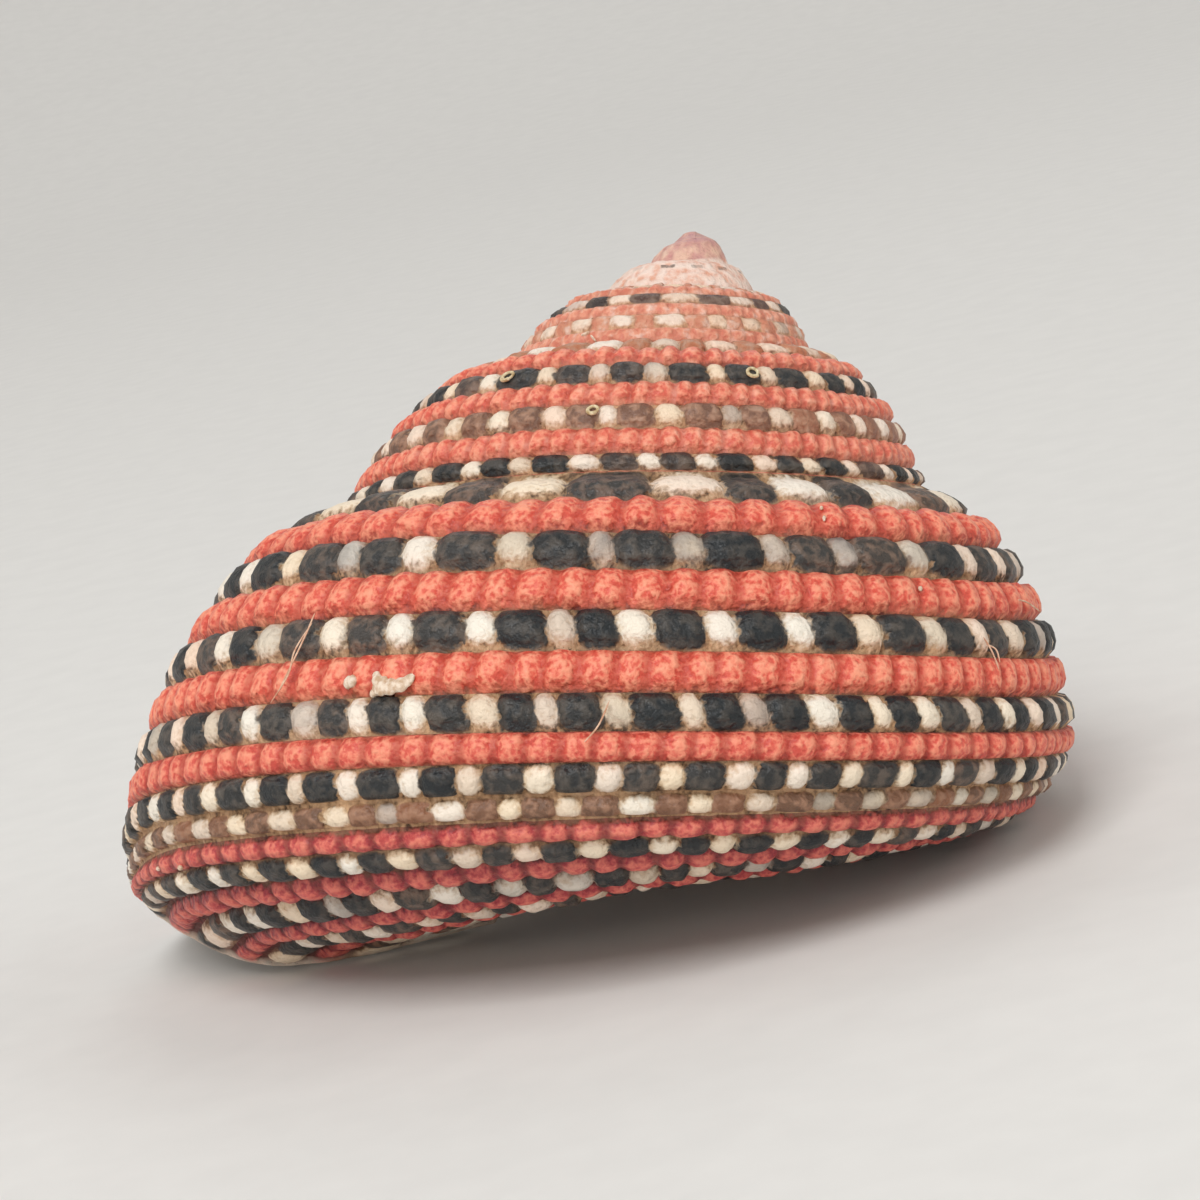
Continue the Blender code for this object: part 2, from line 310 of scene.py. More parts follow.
LIP_THICKNESS_MM = 0.30
WALL_THICKNESS_MM = 0.85
GLAZE_THICKNESS_MM = 0.12
SEAM_FILL_MM = 0.90
NAVEL_FILL_MM = 0.50
WALL_THICKENS_TURNS = 0.06
TUBE_CLOSES_FROM = 0.50
TUBE_CLOSES_OVER = 0.20
TUBE_END_PINCH = 0.85
TUBE_DEPTHS = (
    0.0, 0.0015, 0.004, 0.008, 0.014, 0.022, 0.032, 0.045, 0.06, 0.08,
    0.11, 0.15, 0.20, 0.26, 0.32, 0.38, 0.44, 0.50, 0.56, 0.61, 0.65,
)

# Fine ridges run inwards on the lip's inner face, and a tooth ends the pillar
RIDGE_MM = 0.10
RIDGE_PITCH_CORDS = 1.0
RIDGES_RISE_TURNS = (0.010, 0.012)
RIDGES_FALL_TURNS = (0.11, 0.05)
RIDGES_RISE_CORDS = (1.5, 1.0)
RIDGES_FALL_CORDS = (18.5, 1.0)
TOOTH_MM = 0.75
TOOTH_CORD = 20.3
TOOTH_WIDTH_CORDS = 0.8
TOOTH_DEPTH_TURNS = 0.012
TOOTH_LENGTH_TURNS = 0.010

# ---------------------------------------------------------------- small things dried on to the shell

# Crusts: turn, cord, length, width and height in mm, and the heading of the length in degrees
CRUSTS = (
    (0.0822, 6.33, 0.62, 0.30, 0.09, 24.0),
    (0.0862, 6.40, 0.60, 0.34, 0.10, 8.0),
    (0.0895, 6.38, 0.50, 0.42, 0.10, -5.0),
    (0.0914, 6.24, 0.46, 0.26, 0.09, -60.0),
    (0.0915, 6.46, 0.40, 0.22, 0.09, 15.0),
    (0.1013, 6.26, 0.36, 0.30, 0.12, 0.0),
    (0.1876, 11.17, 0.14, 0.12, 0.06, 0.0),
    (0.2060, 11.00, 0.12, 0.10, 0.05, 0.0),
    (-0.0631, 1.90, 0.13, 0.07, 0.04, 70.0),
    (-0.0625, 2.20, 0.15, 0.07, 0.04, 80.0),
    (-0.1008, 3.95, 0.16, 0.09, 0.04, 50.0),
    (-1.8878, 5.86, 0.20, 0.07, 0.05, 30.0),
    (-1.9000, 6.25, 0.24, 0.06, 0.05, -40.0),
    (-1.9072, 6.54, 0.16, 0.07, 0.05, 10.0),
    (-0.5200, 9.30, 0.35, 0.22, 0.08, 15.0),
    (-0.4400, 4.60, 0.22, 0.16, 0.06, -30.0),
)
# A crust is rough by these waves: their share, their number and their shift from crust to crust
CRUST_WAVES = ((0.12, 4.0, 1.0), (0.06, 9.0, 2.3))
# Fibres: points as turn, cord and height over the tops of the beads in mm
FIBRES = (
    ((0.1245, 4.60, 0.02), (0.1238, 5.10, 0.05), (0.1255, 5.70, 0.02), (0.1282, 6.45, 0.01)),
    ((0.1236, 4.85, 0.02), (0.1262, 5.50, 0.04), (0.1259, 6.05, 0.02), (0.1300, 6.70, 0.01)),
    ((0.0150, 6.85, 0.01), (0.0160, 7.15, 0.03), (0.0178, 7.50, 0.02), (0.0212, 7.86, 0.00)),
    ((-0.1262, 5.18, 0.02), (-0.1290, 5.55, 0.05), (-0.1325, 5.98, 0.01)),
    ((-0.1270, 5.35, 0.02), (-0.1318, 5.50, 0.05), (-0.1338, 5.80, 0.01)),
    ((-0.1640, 4.18, 0.01), (-0.1730, 4.25, 0.03), (-0.1900, 4.50, 0.01)),
    ((-0.4700, 6.10, 0.01), (-0.4760, 6.70, 0.04), (-0.4700, 7.40, 0.01)),
)
FIBRE_RADIUS_MM = 0.018
FIBRE_TAPER = 0.75
FIBRE_TAPER_POWER = 6
# Worm tubes: turn, cord, and the ring's radius in mm
WORM_TUBES = (
    (-0.8792, 3.13, 0.15),
    (-0.9490, 5.00, 0.12),
    (-1.0460, 3.15, 0.14),
    (0.3050, 5.10, 0.20),
)
WORM_TUBE_THICKNESS_MM = 0.045
WORM_TUBE_TURNS = 1.4
# It lies a little into the bead, climbs as it turns, and starts tighter and thinner than it ends
WORM_TUBE_SINKS_MM = 0.04
WORM_TUBE_CLIMBS_MM = 0.02
WORM_TUBE_FIRST_RADIUS = 0.75
WORM_TUBE_FIRST_THICKNESS = 0.6
CRUST_RINGS, CRUST_SIDES = 17, 14
# How far a crust sinks into the grooves, against their depth
CRUST_SINKS = 0.6
FIBRE_RINGS, FIBRE_SIDES = 40, 8
WORM_TUBE_RINGS, WORM_TUBE_SIDES = 48, 10

# ---------------------------------------------------------------- the studio

# The camera faces the front of the coil from close by, with a long lens
CAMERA_ROLL_DEG = 5.574
CAMERA_PITCH_DEG = 5.149
CAMERA_ACROSS_MM = -2.208
CAMERA_UP_MM = -8.348
CAMERA_BACK_MM = 92.63
LENS_MM = 120.0
SENSOR_MM = 36.0

# Lights: places and sizes in metres, powers in watts
KEY_PLACE = (-0.10, -0.26, 0.36)
KEY_SIZE = 0.22
KEY_POWER_W = 1.06
FILL_PLACES = (
    ("right_fill", (0.34, -0.10, 0.26)),
    ("left_fill", (-0.34, 0.06, 0.26)),
    ("back_fill", (0.06, 0.36, 0.30)),
    ("front_fill", (-0.12, -0.36, 0.07)),
)
FILL_SIZE = 0.26
FILL_POWER_W = 0.27
SKY_STRENGTH = 0.27
LIGHTS_AIM = (0.0, 0.0, 0.006)

# The floor: a flat disc that bends up into a round wall, in metres
FLOOR_RADIUS = 0.24
FLOOR_BEND = 0.40
FLOOR_WALL = 0.10
FLOOR_SIDES = 96
FLOOR_GRAIN_MM = 1.5


# ---------------------------------------------------------------- the form


def smooth_step(x):
    """0 below 0, 1 above 1, and 3 x squared less 2 x cubed between."""
    x = np.clip(x, 0.0, 1.0)
    return x * x * (3.0 - 2.0 * x)


def rising(x, start, over):
    """smooth_step of x from a start, over a length."""
    return smooth_step((x - start) / over)


def falling(x, end, over):
    """smooth_step that falls to 0 at an end, over a length before it."""
    return smooth_step((end - x) / over)


def smooth_sum(x):
    """The area under smooth_step up to x: x cubed less half of x to the fourth, then x less a half."""
    rising = np.clip(x, 0.0, 1.0)
    return rising**3 - rising**4 / 2 + np.maximum(0.0, x - 1.0)


def unit(vectors):
    """Each vector divided by its length."""
    return vectors / np.linalg.norm(vectors, axis=-1, keepdims=True)


def curve_through(points, column, x):
    """A smooth curve through one column of points against their first: cubic pieces whose slope at
    each point is the slope between its neighbours."""
    table = np.array(points, dtype=float)
    knots = table[:, 0]
    values = table[:, column]
    slopes = np.gradient(values, knots)
    x = np.clip(x, knots[0], knots[-1])
    piece = np.clip(np.searchsorted(knots, x, side="right") - 1, 0, len(knots) - 2)
    width = knots[piece + 1] - knots[piece]
    f = (x - knots[piece]) / width
    rise = values[piece + 1] - values[piece]
    start = slopes[piece] * width
    end = slopes[piece + 1] * width
    return values[piece] + f * (start + f * (3 * rise - 2 * start - end + f * (start + end - 2 * rise)))


def growth(turn, rate, slowing, slows_from):
    """Size against turn: e to the rate times the turn, less the slowing times the turns past a
    start, squared."""
    past = np.maximum(0.0, turn - slows_from) ** 2 - slows_from**2
    return np.exp(rate * turn - slowing * past)


def shell_point(turn, cord):
    """The surface through the tops of the beads, in millimetres about the coil's axis: the section
    curve's distance from the axis and drop, each times its growth at the turn, carried round the
    axis by the turn. The shoulder, the base, the lip and the navel's funnel are shaped on top, and so
    is the tip, a dome whose drop is the distance squared over twice its radius."""
    turn, cord = np.broadcast_arrays(np.asarray(turn, dtype=float), np.asarray(cord, dtype=float))
    on_section = np.minimum(cord, NAVEL_CORD)
    shoulder = np.maximum(0.0, SHOULDER_CORD - on_section) / (SHOULDER_CORD - 1)
    below = np.maximum(0.0, on_section - WIDEST_CORD) / WIDEST_CORD
    age = np.maximum(turn, YOUNGEST_SHOULDER)
    late = np.maximum(0.0, turn)
    spread = (BASE_SPREAD[0] * late + BASE_SPREAD[1] * late**2) * below
    sink = (BASE_SINK[0] * late + BASE_SINK[1] * late**2) * below
    radius = curve_through(SECTION, 1, on_section) * (1 + SHOULDER_GIRTH * age * shoulder + spread)
    drop = curve_through(SECTION, 2, on_section) * (1 + SHOULDER_DROP * age * shoulder + sink)
    radius = radius * growth(turn, RADIAL_RATE, RADIAL_SLOWING, RADIAL_SLOWS_FROM)
    drop = drop * growth(turn, AXIAL_RATE, AXIAL_SLOWING, AXIAL_SLOWS_FROM)
    sag = rising(turn, SAG_STARTS_TURN, SAG_GROWS_TURNS)
    drop = drop + BASE_SAG_MM * sag * np.exp(-(((on_section - SAG_CORD) / SAG_WIDTH_CORDS) ** 2))
    to_lip = curve_through(LIP_LINE, 1, on_section) - turn
    flare = LIP_FLARE_MM * smooth_step(1 - to_lip / LIP_FLARE_TURNS)
    flare = flare * np.exp(-(((on_section - LIP_FLARE_CORD) / LIP_FLARE_WIDTH_CORDS) ** 2))
    droop = LIP_DROOP_MM * smooth_step(1 - to_lip / LIP_DROOP_TURNS)
    droop = droop * np.exp(-(((on_section - LIP_DROOP_CORD) / LIP_DROOP_WIDTH_CORDS) ** 2))
    drop = drop + flare + droop
    radius = radius + flare * LIP_FLARE_SPREAD

    age_of_tip = turn - FIRST_TURN
    from_tip = np.clip(age_of_tip, 0.0, 1.0) ** TIP_ROUNDNESS
    tip = TIP_HEIGHT_MM * np.exp(-np.maximum(0.0, age_of_tip) / TIP_FADES_TURNS)
    radius = radius * from_tip
    drop = drop * from_tip - tip
    dome = radius**2 / (2 * DOME_RADIUS_MM) - DOME_TOP_MM
    on_dome = falling(age_of_tip, DOME_TURNS + DOME_FADES_TURNS, DOME_FADES_TURNS)
    drop = drop + (dome - drop) * on_dome

    down_funnel = np.clip((cord - NAVEL_CORD) / (RING_CORD - NAVEL_CORD), 0.0, 1.0)
    radius = radius + (RING_RADIUS_MM - radius) * down_funnel**FUNNEL_FLARE
    drop = drop + (RING_DROP_MM - drop) * down_funnel

    angle = -2.0 * math.pi * turn
    return np.stack((radius * np.sin(angle), -radius * np.cos(angle), -drop), axis=-1)


def column_turn(column, cord):
    """The turn of a column of facets at a cord: straight along the coil, plus the lean of the lip
    eased in over the half turn before it and, on the base, over the half turn after the mouth."""
    lean = curve_through(LIP_LINE, 1, cord) - LIP_TURN
    near_lip = smooth_step((column - (LIP_TURN - LIP_LEAN_TURNS)) / LIP_LEAN_TURNS)
    near_mouth = smooth_step(((LIP_TURN - LIP_LEAN_TURNS) - column) / LIP_LEAN_TURNS)
    near_mouth = near_mouth * smooth_step((cord - SEAM_CORD) / SEAM_CORD)
    return column + lean * np.maximum(near_lip, near_mouth)


def surface_frame(turn, cord):
    """The directions along the coil, down the section and out of the shell, from small differences,
    and the spacing of the cords in millimetres: the length of the difference over the step."""
    turn_step = 1e-4
    cord_step = 1e-3
    along = shell_point(turn + turn_step, cord) - shell_point(turn - turn_step, cord)
    down = shell_point(turn, cord + cord_step) - shell_point(turn, cord - cord_step)
    spacing = np.linalg.norm(down, axis=-1) / (2 * cord_step)
    return unit(along), unit(down), unit(np.cross(along, down)), spacing


class Placing:
    """Turns the coil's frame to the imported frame: the rest direction up, turn 0 to the front, and
    moved so that the corners of the frame's facets fill the frame's box."""

    def __init__(self):
        upright = REST_UP.normalized().rotation_difference(Vector((0.0, 0.0, 1.0))).to_matrix()
        front = upright @ Vector((0.0, -1.0, 0.0))
        to_front = Matrix.Rotation(-math.pi / 2 - math.atan2(front.y, front.x), 3, "Z")
        self.turning = np.array(to_front @ upright)
        cords = np.array(FRAME_SPIRE_CORDS + FRAME_BASE_CORDS)
        back = np.arange(FRAME_COLUMNS_PER_TURN * 3 // 2)[:, None] / FRAME_COLUMNS_PER_TURN
        corners = self.turned(shell_point(column_turn(LIP_TURN - back, cords), cords))
        low = corners.reshape(-1, 3).min(axis=0)
        high = corners.reshape(-1, 3).max(axis=0)
        middle = (np.array(CAD_LOW) + np.array(CAD_HIGH)) / 2
        self.shift = middle - (low + high) / 2
        self.shift[2] = CAD_LOW.z - low[2]

    def turned(self, vectors_mm):
        """Vectors of the coil's frame, in millimetres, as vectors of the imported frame, in metres."""
        return (vectors_mm * MM) @ self.turning.T

    def placed(self, points_mm):
        """Points of the coil's frame, in millimetres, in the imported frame, in metres. What would
        reach the floor is worn flat just above it."""
        points = self.turned(points_mm) + self.shift
        points[..., 2] = np.maximum(points[..., 2], WORN_FLAT_MM * MM)
        return points


# ---------------------------------------------------------------- beads


# Each column of the cords' table by cord number. Number 0, which no cord has, repeats the first
CORD_KIND, CORD_COUNTS, CORD_START, CORD_SHARE, CORD_TONES, CORD_GROOVE, CORD_GIRTH = (
    np.array(column) for column in list(zip(CORDS[0], *CORDS))[1:]
)


def cord_number(cord):
    """The cord that a place belongs to: the nearest whole number from the first to the last."""
    return np.clip(np.rint(cord), 1, LAST_CORD).astype(int)


def cord_offset(cord, number):
    """The place across a cord, from -0.5 at its upper edge to 0.5 at its lower one. The first cord
    reaches up to the seam, and a cord of small girth leaves a gap on both sides."""
    offset = np.clip((cord - number) / CORD_GIRTH[number], -0.5, 0.5)
    return np.where(cord < 1, (cord - 1) / 2, offset)


def bead_place(turn, cord, number):
    """Beads or pairs counted along a cord: the start plus the count in a turn times the turn, with
    the counts of the older turns eased in by smooth_sum, and two waves that make it uneven. The
    spire's pairs lean: their turn changes by the place across the cord times the lean."""
    leans = (CORD_KIND[number] == PAIR) & (number < WIDEST_CORD)
    turn = turn + BEAD_LEAN_TURNS * cord_offset(cord, number) * leans
    now, before, first = (CORD_COUNTS[number, k] for k in range(3))
    place = CORD_START[number] + now * turn
    place = place + (now - before) * EASE_TURNS * smooth_sum((-turn - EASE_STARTS_TURN) / EASE_TURNS)
    place = place + (before - first) * EASE_TURNS * smooth_sum((-turn - 1 - EASE_STARTS_TURN) / EASE_TURNS)
    slow = np.sin(2 * math.pi * (SLOW_WAVE[0] * turn + SLOW_WAVE[1] * number))
    quick = np.sin(QUICK_WAVE[0] * place + QUICK_WAVE[1] * number)
    return place + PLACE_UNEVEN * slow + PLACE_UNEVEN * quick


def white_half(turn, place, number):
    """Half the width of the white bead at a place, in pairs: the cord's own, more of it on the oldest
    turns, and a little more or less from bead to bead."""
    share = CORD_SHARE[number] + OLDER_WHITE_SHARE * falling(turn, *OLDER_WHITE_FALLS)
    return share / 2 * (WHITE_LEAST + WHITE_SPREAD * scatter(np.rint(place), number + 0.5))


def eased_tone(turn, number):
    """How dark the darker beads are, eased from turn to turn by smooth_step."""
    now, before, first = (CORD_TONES[number, k] for k in range(3))
    tone = now + (before - now) * smooth_step((-turn - EASE_STARTS_TURN) / EASE_TURNS)
    return tone + (first - before) * smooth_step((-turn - 1 - EASE_STARTS_TURN) / EASE_TURNS)


def stain(turn, place, number):
    """How stained a white bead is, from 0 to 1: a few by chance, except on the first cord, and those
    on the third cord where it passes the front."""
    bead = np.rint(place)
    chance = STAIN_MOST * rising(scatter(bead, number + 0.7), *STAIN_CHANCE) * (number > 1)
    front = rising(turn, *STAIN_RISES) * falling(turn, *STAIN_FALLS) * (number == STAINED_CORD)
    return np.maximum(chance, front * (STAIN_LEAST + STAIN_SPREAD * scatter(bead, number + 0.9)))


def scatter(a, b):
    """An even spread of values from 0 to 1 that looks random: the fraction of a large sine. What is
    added to a cord's number where this is called keeps one use apart from another."""
    value = np.sin(a * 12.9898 + b * 78.233) * 43758.5453
    return value - np.floor(value)


def lip_distance(turn, cord, radius_mm):
    """Millimetres left to the lip, round the axis."""
    to_lip = curve_through(LIP_LINE, 1, np.minimum(cord, NAVEL_CORD)) - turn
    return to_lip * 2 * math.pi * radius_mm


def lift(turn, cord, lip_mm):
    """How far the tops of the beads stand proud of the frame's surface, in millimetres: a low swell
    over the shoulder's cords and another over the base's, gone at the tip and near the lip."""
    shoulder = rising(cord, *SHOULDER_LIFT_RISES) * falling(cord, *SHOULDER_LIFT_FALLS)
    base = rising(cord, *BASE_LIFT_RISES) * falling(cord, *BASE_LIFT_FALLS)
    swell = SHOULDER_LIFT_MM * shoulder + BASE_LIFT_MM * base
    grown = EARLY_LIFT_SHARE + (1 - EARLY_LIFT_SHARE) * rising(turn, *LIFT_GROWS)
    return swell * grown * rising(turn, *LIFT_STARTS) * smooth_step(lip_mm / LIFT_ENDS_MM)


def lumps(points):
    """An uneven surface, mostly between -1 and 1: the products of three sines of the place in
    millimetres, each bent by the next axis, in their shares."""
    first, second, third = (
        np.sin(waves * points[..., k] + bend * np.sin(other * points[..., (k + 1) % 3] + shift))
        for k, (waves, bend, other, shift) in enumerate(LUMP_WAVES)
    )
    products = (first * second, third * first, second * third)
    return sum(share * product for share, product in zip(LUMP_SHARES, products))


def carve(turn, cord, spacing, lip_mm, groove_depth):
    """How far the carved skin lies under the tops of the beads, in millimetres. A bead's height, from
    0 in a groove to 1 on a top, is one less the offset across the cord and the offset along it, each
    to the bead power, all to the roundness. A red cord has no offset along it: it dips and narrows
    between its beads by a power of the sine of the place. The depth is the rest of the height times
    the cord spacing, the groove's own share and the groove depth that the user sets."""
    number = cord_number(cord)
    across = 2 * np.abs(cord_offset(cord, number))
    place = bead_place(turn, cord, number)
    bead = np.rint(place)
    off = np.abs(place - bead)
    half_white = white_half(turn, place, number)
    in_white = off < half_white
    along_pair = np.where(in_white, off / half_white, (0.5 - off) / (0.5 - half_white))
    red = CORD_KIND[number] == RED
    along = np.where(red, 0.0, PAIR_FULLNESS * along_pair)
    seam = np.where(red, np.sin(math.pi * off) ** RED_SEAM_POWER, 0.0)
    which = np.where(red | in_white, bead, np.floor(place) + 0.5)
    uneven = 1.0 - TOP_UNEVEN * scatter(which, number)
    across = across * (1 + RED_SCALLOP * seam)
    power = np.where(red, RED_POWER, np.where(in_white, WHITE_POWER, DARK_POWER))
    fall = across**power + along**power
    height = np.maximum(0.0, 1 - fall) ** BEAD_ROUNDNESS * (1 - RED_DIP * seam)

    wear = WORN_RELIEF + (1 - WORN_RELIEF) * rising(turn, WORN_BEFORE, WORN_OVER_TURNS)
    deepened = LIP_GROOVE_SHARE + (1 - LIP_GROOVE_SHARE) * smooth_step(lip_mm / GROOVES_DEEPEN_MM)
    near_lip = smooth_step(lip_mm / LIP_SMOOTH_MM - LIP_BARE_SHARE) * deepened
    in_navel = 1.0 - NAVEL_SMOOTH_SHARE * rising(cord - NAVEL_CORD, *NAVEL_SMOOTHS)
    width = np.minimum(spacing, WIDEST_SPACING_MM)
    groove = groove_depth * CORD_GROOVE[number] * width
    depth = CLEARANCE_MM + groove * (1 - height * uneven) * wear * near_lip * in_navel
    crowd, crowds = GROWTH_CROWDS
    lines = 0.5 + 0.5 * np.sin(2 * math.pi * (GROWTH_LINES * turn + crowd * np.sin(crowds * turn)))
    depth = depth + GROWTH_LINE_MM * lines * wear * width
    return depth + LIP_ROUNDING_MM * np.exp(-((lip_mm / LIP_ROUNDING_MM) ** 2))


# ---------------------------------------------------------------- meshes


def new_mesh(name, points, face_groups, materials):
    """A mesh object from points in metres and arrays of faces, one array for each corner count."""
    corners = np.concatenate([faces.ravel() for faces in face_groups])
    sizes = np.concatenate([np.full(len(faces), faces.shape[1]) for faces in face_groups])
    starts = np.concatenate(([0], np.cumsum(sizes)[:-1]))
    mesh = bpy.data.meshes.new(name)
    mesh.vertices.add(len(points))
    mesh.vertices.foreach_set("co", np.ascontiguousarray(points, dtype=np.float32).ravel())
    mesh.loops.add(len(corners))
    mesh.loops.foreach_set("vertex_index", corners.astype(np.int32))
    mesh.polygons.add(len(sizes))
    mesh.polygons.foreach_set("loop_start", starts.astype(np.int32))
    mesh.update(calc_edges=True)
    mesh.shade_smooth()
    for material in materials:
        mesh.materials.append(material)
    made = bpy.data.objects.new(name, mesh)
    bpy.context.scene.collection.objects.link(made)
    return made


def point_values(mesh, name, values):
    """A number for each point of the mesh, which its material can read."""
    layer = mesh.attributes.new(name, "FLOAT", "POINT")
    layer.data.foreach_set("value", np.ascontiguousarray(values, dtype=np.float32).ravel())


def swept_mesh(paths):
    """Closed bodies swept along paths. Each path has its centres, two directions across it and its
    half widths along them, so that ring j is the centre plus cosine and sine times the two widths;
    a point at each end closes it. Returns the points and the faces by corner count."""
    points = []
    quads = []
    fans = []
    start = 0
    for centres, side, up, half_width, half_height, sides in paths:
        angles = np.arange(sides) * 2 * math.pi / sides
        across = np.cos(angles)[None, :, None] * (side * half_width[:, None])[:, None, :]
        upwards = np.sin(angles)[None, :, None] * (up * half_height[:, None])[:, None, :]
        rings = centres[1:-1, None, :] + (across + upwards)[1:-1]
        count = len(rings)
        index = start + np.arange(count * sides).reshape(count, sides)
        after = np.roll(index, -1, axis=1)
        quads.append(np.stack((index[:-1], after[:-1], after[1:], index[1:]), axis=-1).reshape(-1, 4))
        first = start + count * sides
        last = first + 1
        fans.append(np.stack((np.full(sides, first), after[0], index[0]), axis=-1))
        fans.append(np.stack((np.full(sides, last), index[-1], after[-1]), axis=-1))
        points += [rings.reshape(-1, 3), centres[:1], centres[-1:]]
        start = last + 1
    return np.concatenate(points), [np.concatenate(quads), np.concatenate(fans)]


class SkinGrid:
    """The outer skin as columns round the coil and rows down the section. A corner's number is its
    column times the row count plus its row. Row 0 of a column is the last spire row of the column one
    turn before, so each turn hangs from the one above it."""

    def __init__(self):
        spire = list(SEAM_ROWS) + [k + step for k in range(1, 7) for step in CORD_ROWS]
        spire += LAST_SPIRE_ROWS
        base = list(FIRST_BASE_ROWS)
        base += [k + step for k in range(9, LAST_CORD + 1) for step in CORD_ROWS]
        base += (RIM_ROW,) + NAVEL_ROWS
        self.seam_row = len(spire)
        self.cords = np.array([0.0] + spire + base)
        self.last_row = len(self.cords) - 1
        self.columns = int(round((LIP_TURN - FIRST_TURN) * COLUMNS_PER_TURN))
        self.mouth_column = self.columns - COLUMNS_PER_TURN
        self.column = LIP_TURN - (self.columns - np.arange(self.columns + 1)) / COLUMNS_PER_TURN
        self.turn = column_turn(self.column[:, None], self.cords[None, :])
        self.cord = np.broadcast_to(self.cords, self.turn.shape)
        self.step = np.where(self.column < EVERY_SECOND_BEFORE, 2, 1)
        self.step = np.where(self.column < EVERY_FOURTH_BEFORE, 4, self.step)
        self.number_points()

    def number_points(self):
        """Gives each corner its point: skipped rows have none, and corners that meet share one."""
        rows = np.arange(self.last_row + 1)
        used = (rows[None, :] % self.step[:, None] == 0) & (rows <= self.seam_row)
        used[self.mouth_column :, self.seam_row + 1 :] = True
        used[:, 0] = False
        used[0, :] = False
        used[self.columns, self.last_row] = False
        self.used = used
        self.tip = int(used.sum())
        self.navel_floor = self.tip + 1
        point = np.full(used.shape, -1)
        point[used] = np.arange(self.tip)
        point[0, : self.seam_row + 1] = self.tip
        point[:COLUMNS_PER_TURN, 0] = self.tip
        point[COLUMNS_PER_TURN:, 0] = point[: self.columns + 1 - COLUMNS_PER_TURN, self.seam_row]
        point[self.columns, self.last_row] = point[self.mouth_column, self.last_row]
        self.point = point

    def quads(self, columns, row, step):
        """Outward faces between each column and the next, from a row to the row a step on."""
        at = columns * (self.last_row + 1) + row
        after = at + self.last_row + 1
        return np.stack((at, after, after + step, at + step), axis=-1)

    def faces(self):
        """Faces as corner numbers, by corner count: quads where two columns have the same rows,
        five-sided ones where the rows double, and triangles round the tip."""
        fours = []
        fives = []
        threes = []
        at = np.arange(1, self.columns)
        for step in (1, 2, 4):
            alike = at[(self.step[at] == step) & (self.step[at + 1] == step)]
            for row in range(0, self.seam_row, step):
                columns = alike[alike >= COLUMNS_PER_TURN] if row == 0 else alike
                fours.append(self.quads(columns, row, step))
            doubling = at[(self.step[at] == 2 * step) & (self.step[at + 1] == step)]
            for row in range(0, self.seam_row, 2 * step):
                ring = self.quads(doubling, row, 2 * step)
                middle = (ring[:, 1] + step)[:, None]
                fives.append(np.concatenate((ring[:, :2], middle, ring[:, 2:]), axis=1))
        step = int(self.step[0])
        threes.append(self.quads(np.arange(1, COLUMNS_PER_TURN), 0, step)[:, [0, 2, 3]])
        for row in range(step, self.seam_row, step):
            threes.append(self.quads(np.array([0]), row, step)[:, :3])
        base = np.arange(self.mouth_column, self.columns)
        for row in range(self.seam_row, self.last_row):
            fours.append(self.quads(base, row, 1))
        return [np.concatenate(group) for group in (threes, fours, fives)]

    def seam_loop(self):
        """The points of the edge where the last turn joins the older ones: round the seam, then up
        the section that the last turn starts from."""
        round_seam = self.point[self.mouth_column :, 0]
        up_section = self.point[self.mouth_column, self.seam_row - 1 : 0 : -1]
        return np.concatenate((round_seam, up_section))

    def lip_loop(self):
        """The points round the mouth: down the lip from the seam to the navel's ring, and back along
        the edge that the base starts from."""
        down_lip = self.point[self.columns]
        back = self.point[self.mouth_column, self.last_row - 1 : self.seam_row : -1]
        return np.concatenate((down_lip, back))


# ---------------------------------------------------------------- the hollow


def frame_mouth_section(depth):
    """The closed edge of the last turn's tube at the frame's corners, a depth in turns behind the
    lip: down the outer wall from the seam to the navel's ring, and back over the turn before it."""
    cords = np.array(FRAME_SPIRE_CORDS + FRAME_BASE_CORDS)
    wall = shell_point(column_turn(LIP_TURN, cords) - depth, cords)
    seam = shell_point(LIP_TURN - 1 - depth, SEAM_CORD)[None, :]
    back_cords = np.array(FRAME_BASE_CORDS[-2::-1])
    back = shell_point(column_turn(LIP_TURN - 1, back_cords) - depth, back_cords)
    return np.concatenate((seam, wall, back))


def frame_tube_ring(depth):
    """The hollow's edge at a depth, at the frame's corners: the section moved inwards, across its
    smoothed direction and in its own plane, by the thickness of the shell there."""
    edge = frame_mouth_section(depth)
    middle = edge.mean(axis=0)
    along = unit(np.roll(edge, -1, axis=0) - np.roll(edge, 1, axis=0))
    along = along + np.roll(along, 1, axis=0) + np.roll(along, -1, axis=0)
    spokes = edge - middle
    facing = np.cross(spokes, np.roll(spokes, -1, axis=0)).sum(axis=0)
    inward = unit(np.cross(facing, along))

    grown = smooth_step(depth / WALL_THICKENS_TURNS)
    ring_place = len(FRAME_SPIRE_CORDS) + len(FRAME_BASE_CORDS)
    thickness = np.full(len(edge), GLAZE_THICKNESS_MM * grown)
    thickness[:ring_place] = LIP_THICKNESS_MM + (WALL_THICKNESS_MM - LIP_THICKNESS_MM) * grown
    thickness[0] = SEAM_FILL_MM * grown
    thickness[ring_place] = NAVEL_FILL_MM * grown
    ring = edge + inward * thickness[:, None]
    pinch = TUBE_END_PINCH * smooth_step((depth - TUBE_CLOSES_FROM) / TUBE_CLOSES_OVER)
    return ring + (middle - ring) * pinch


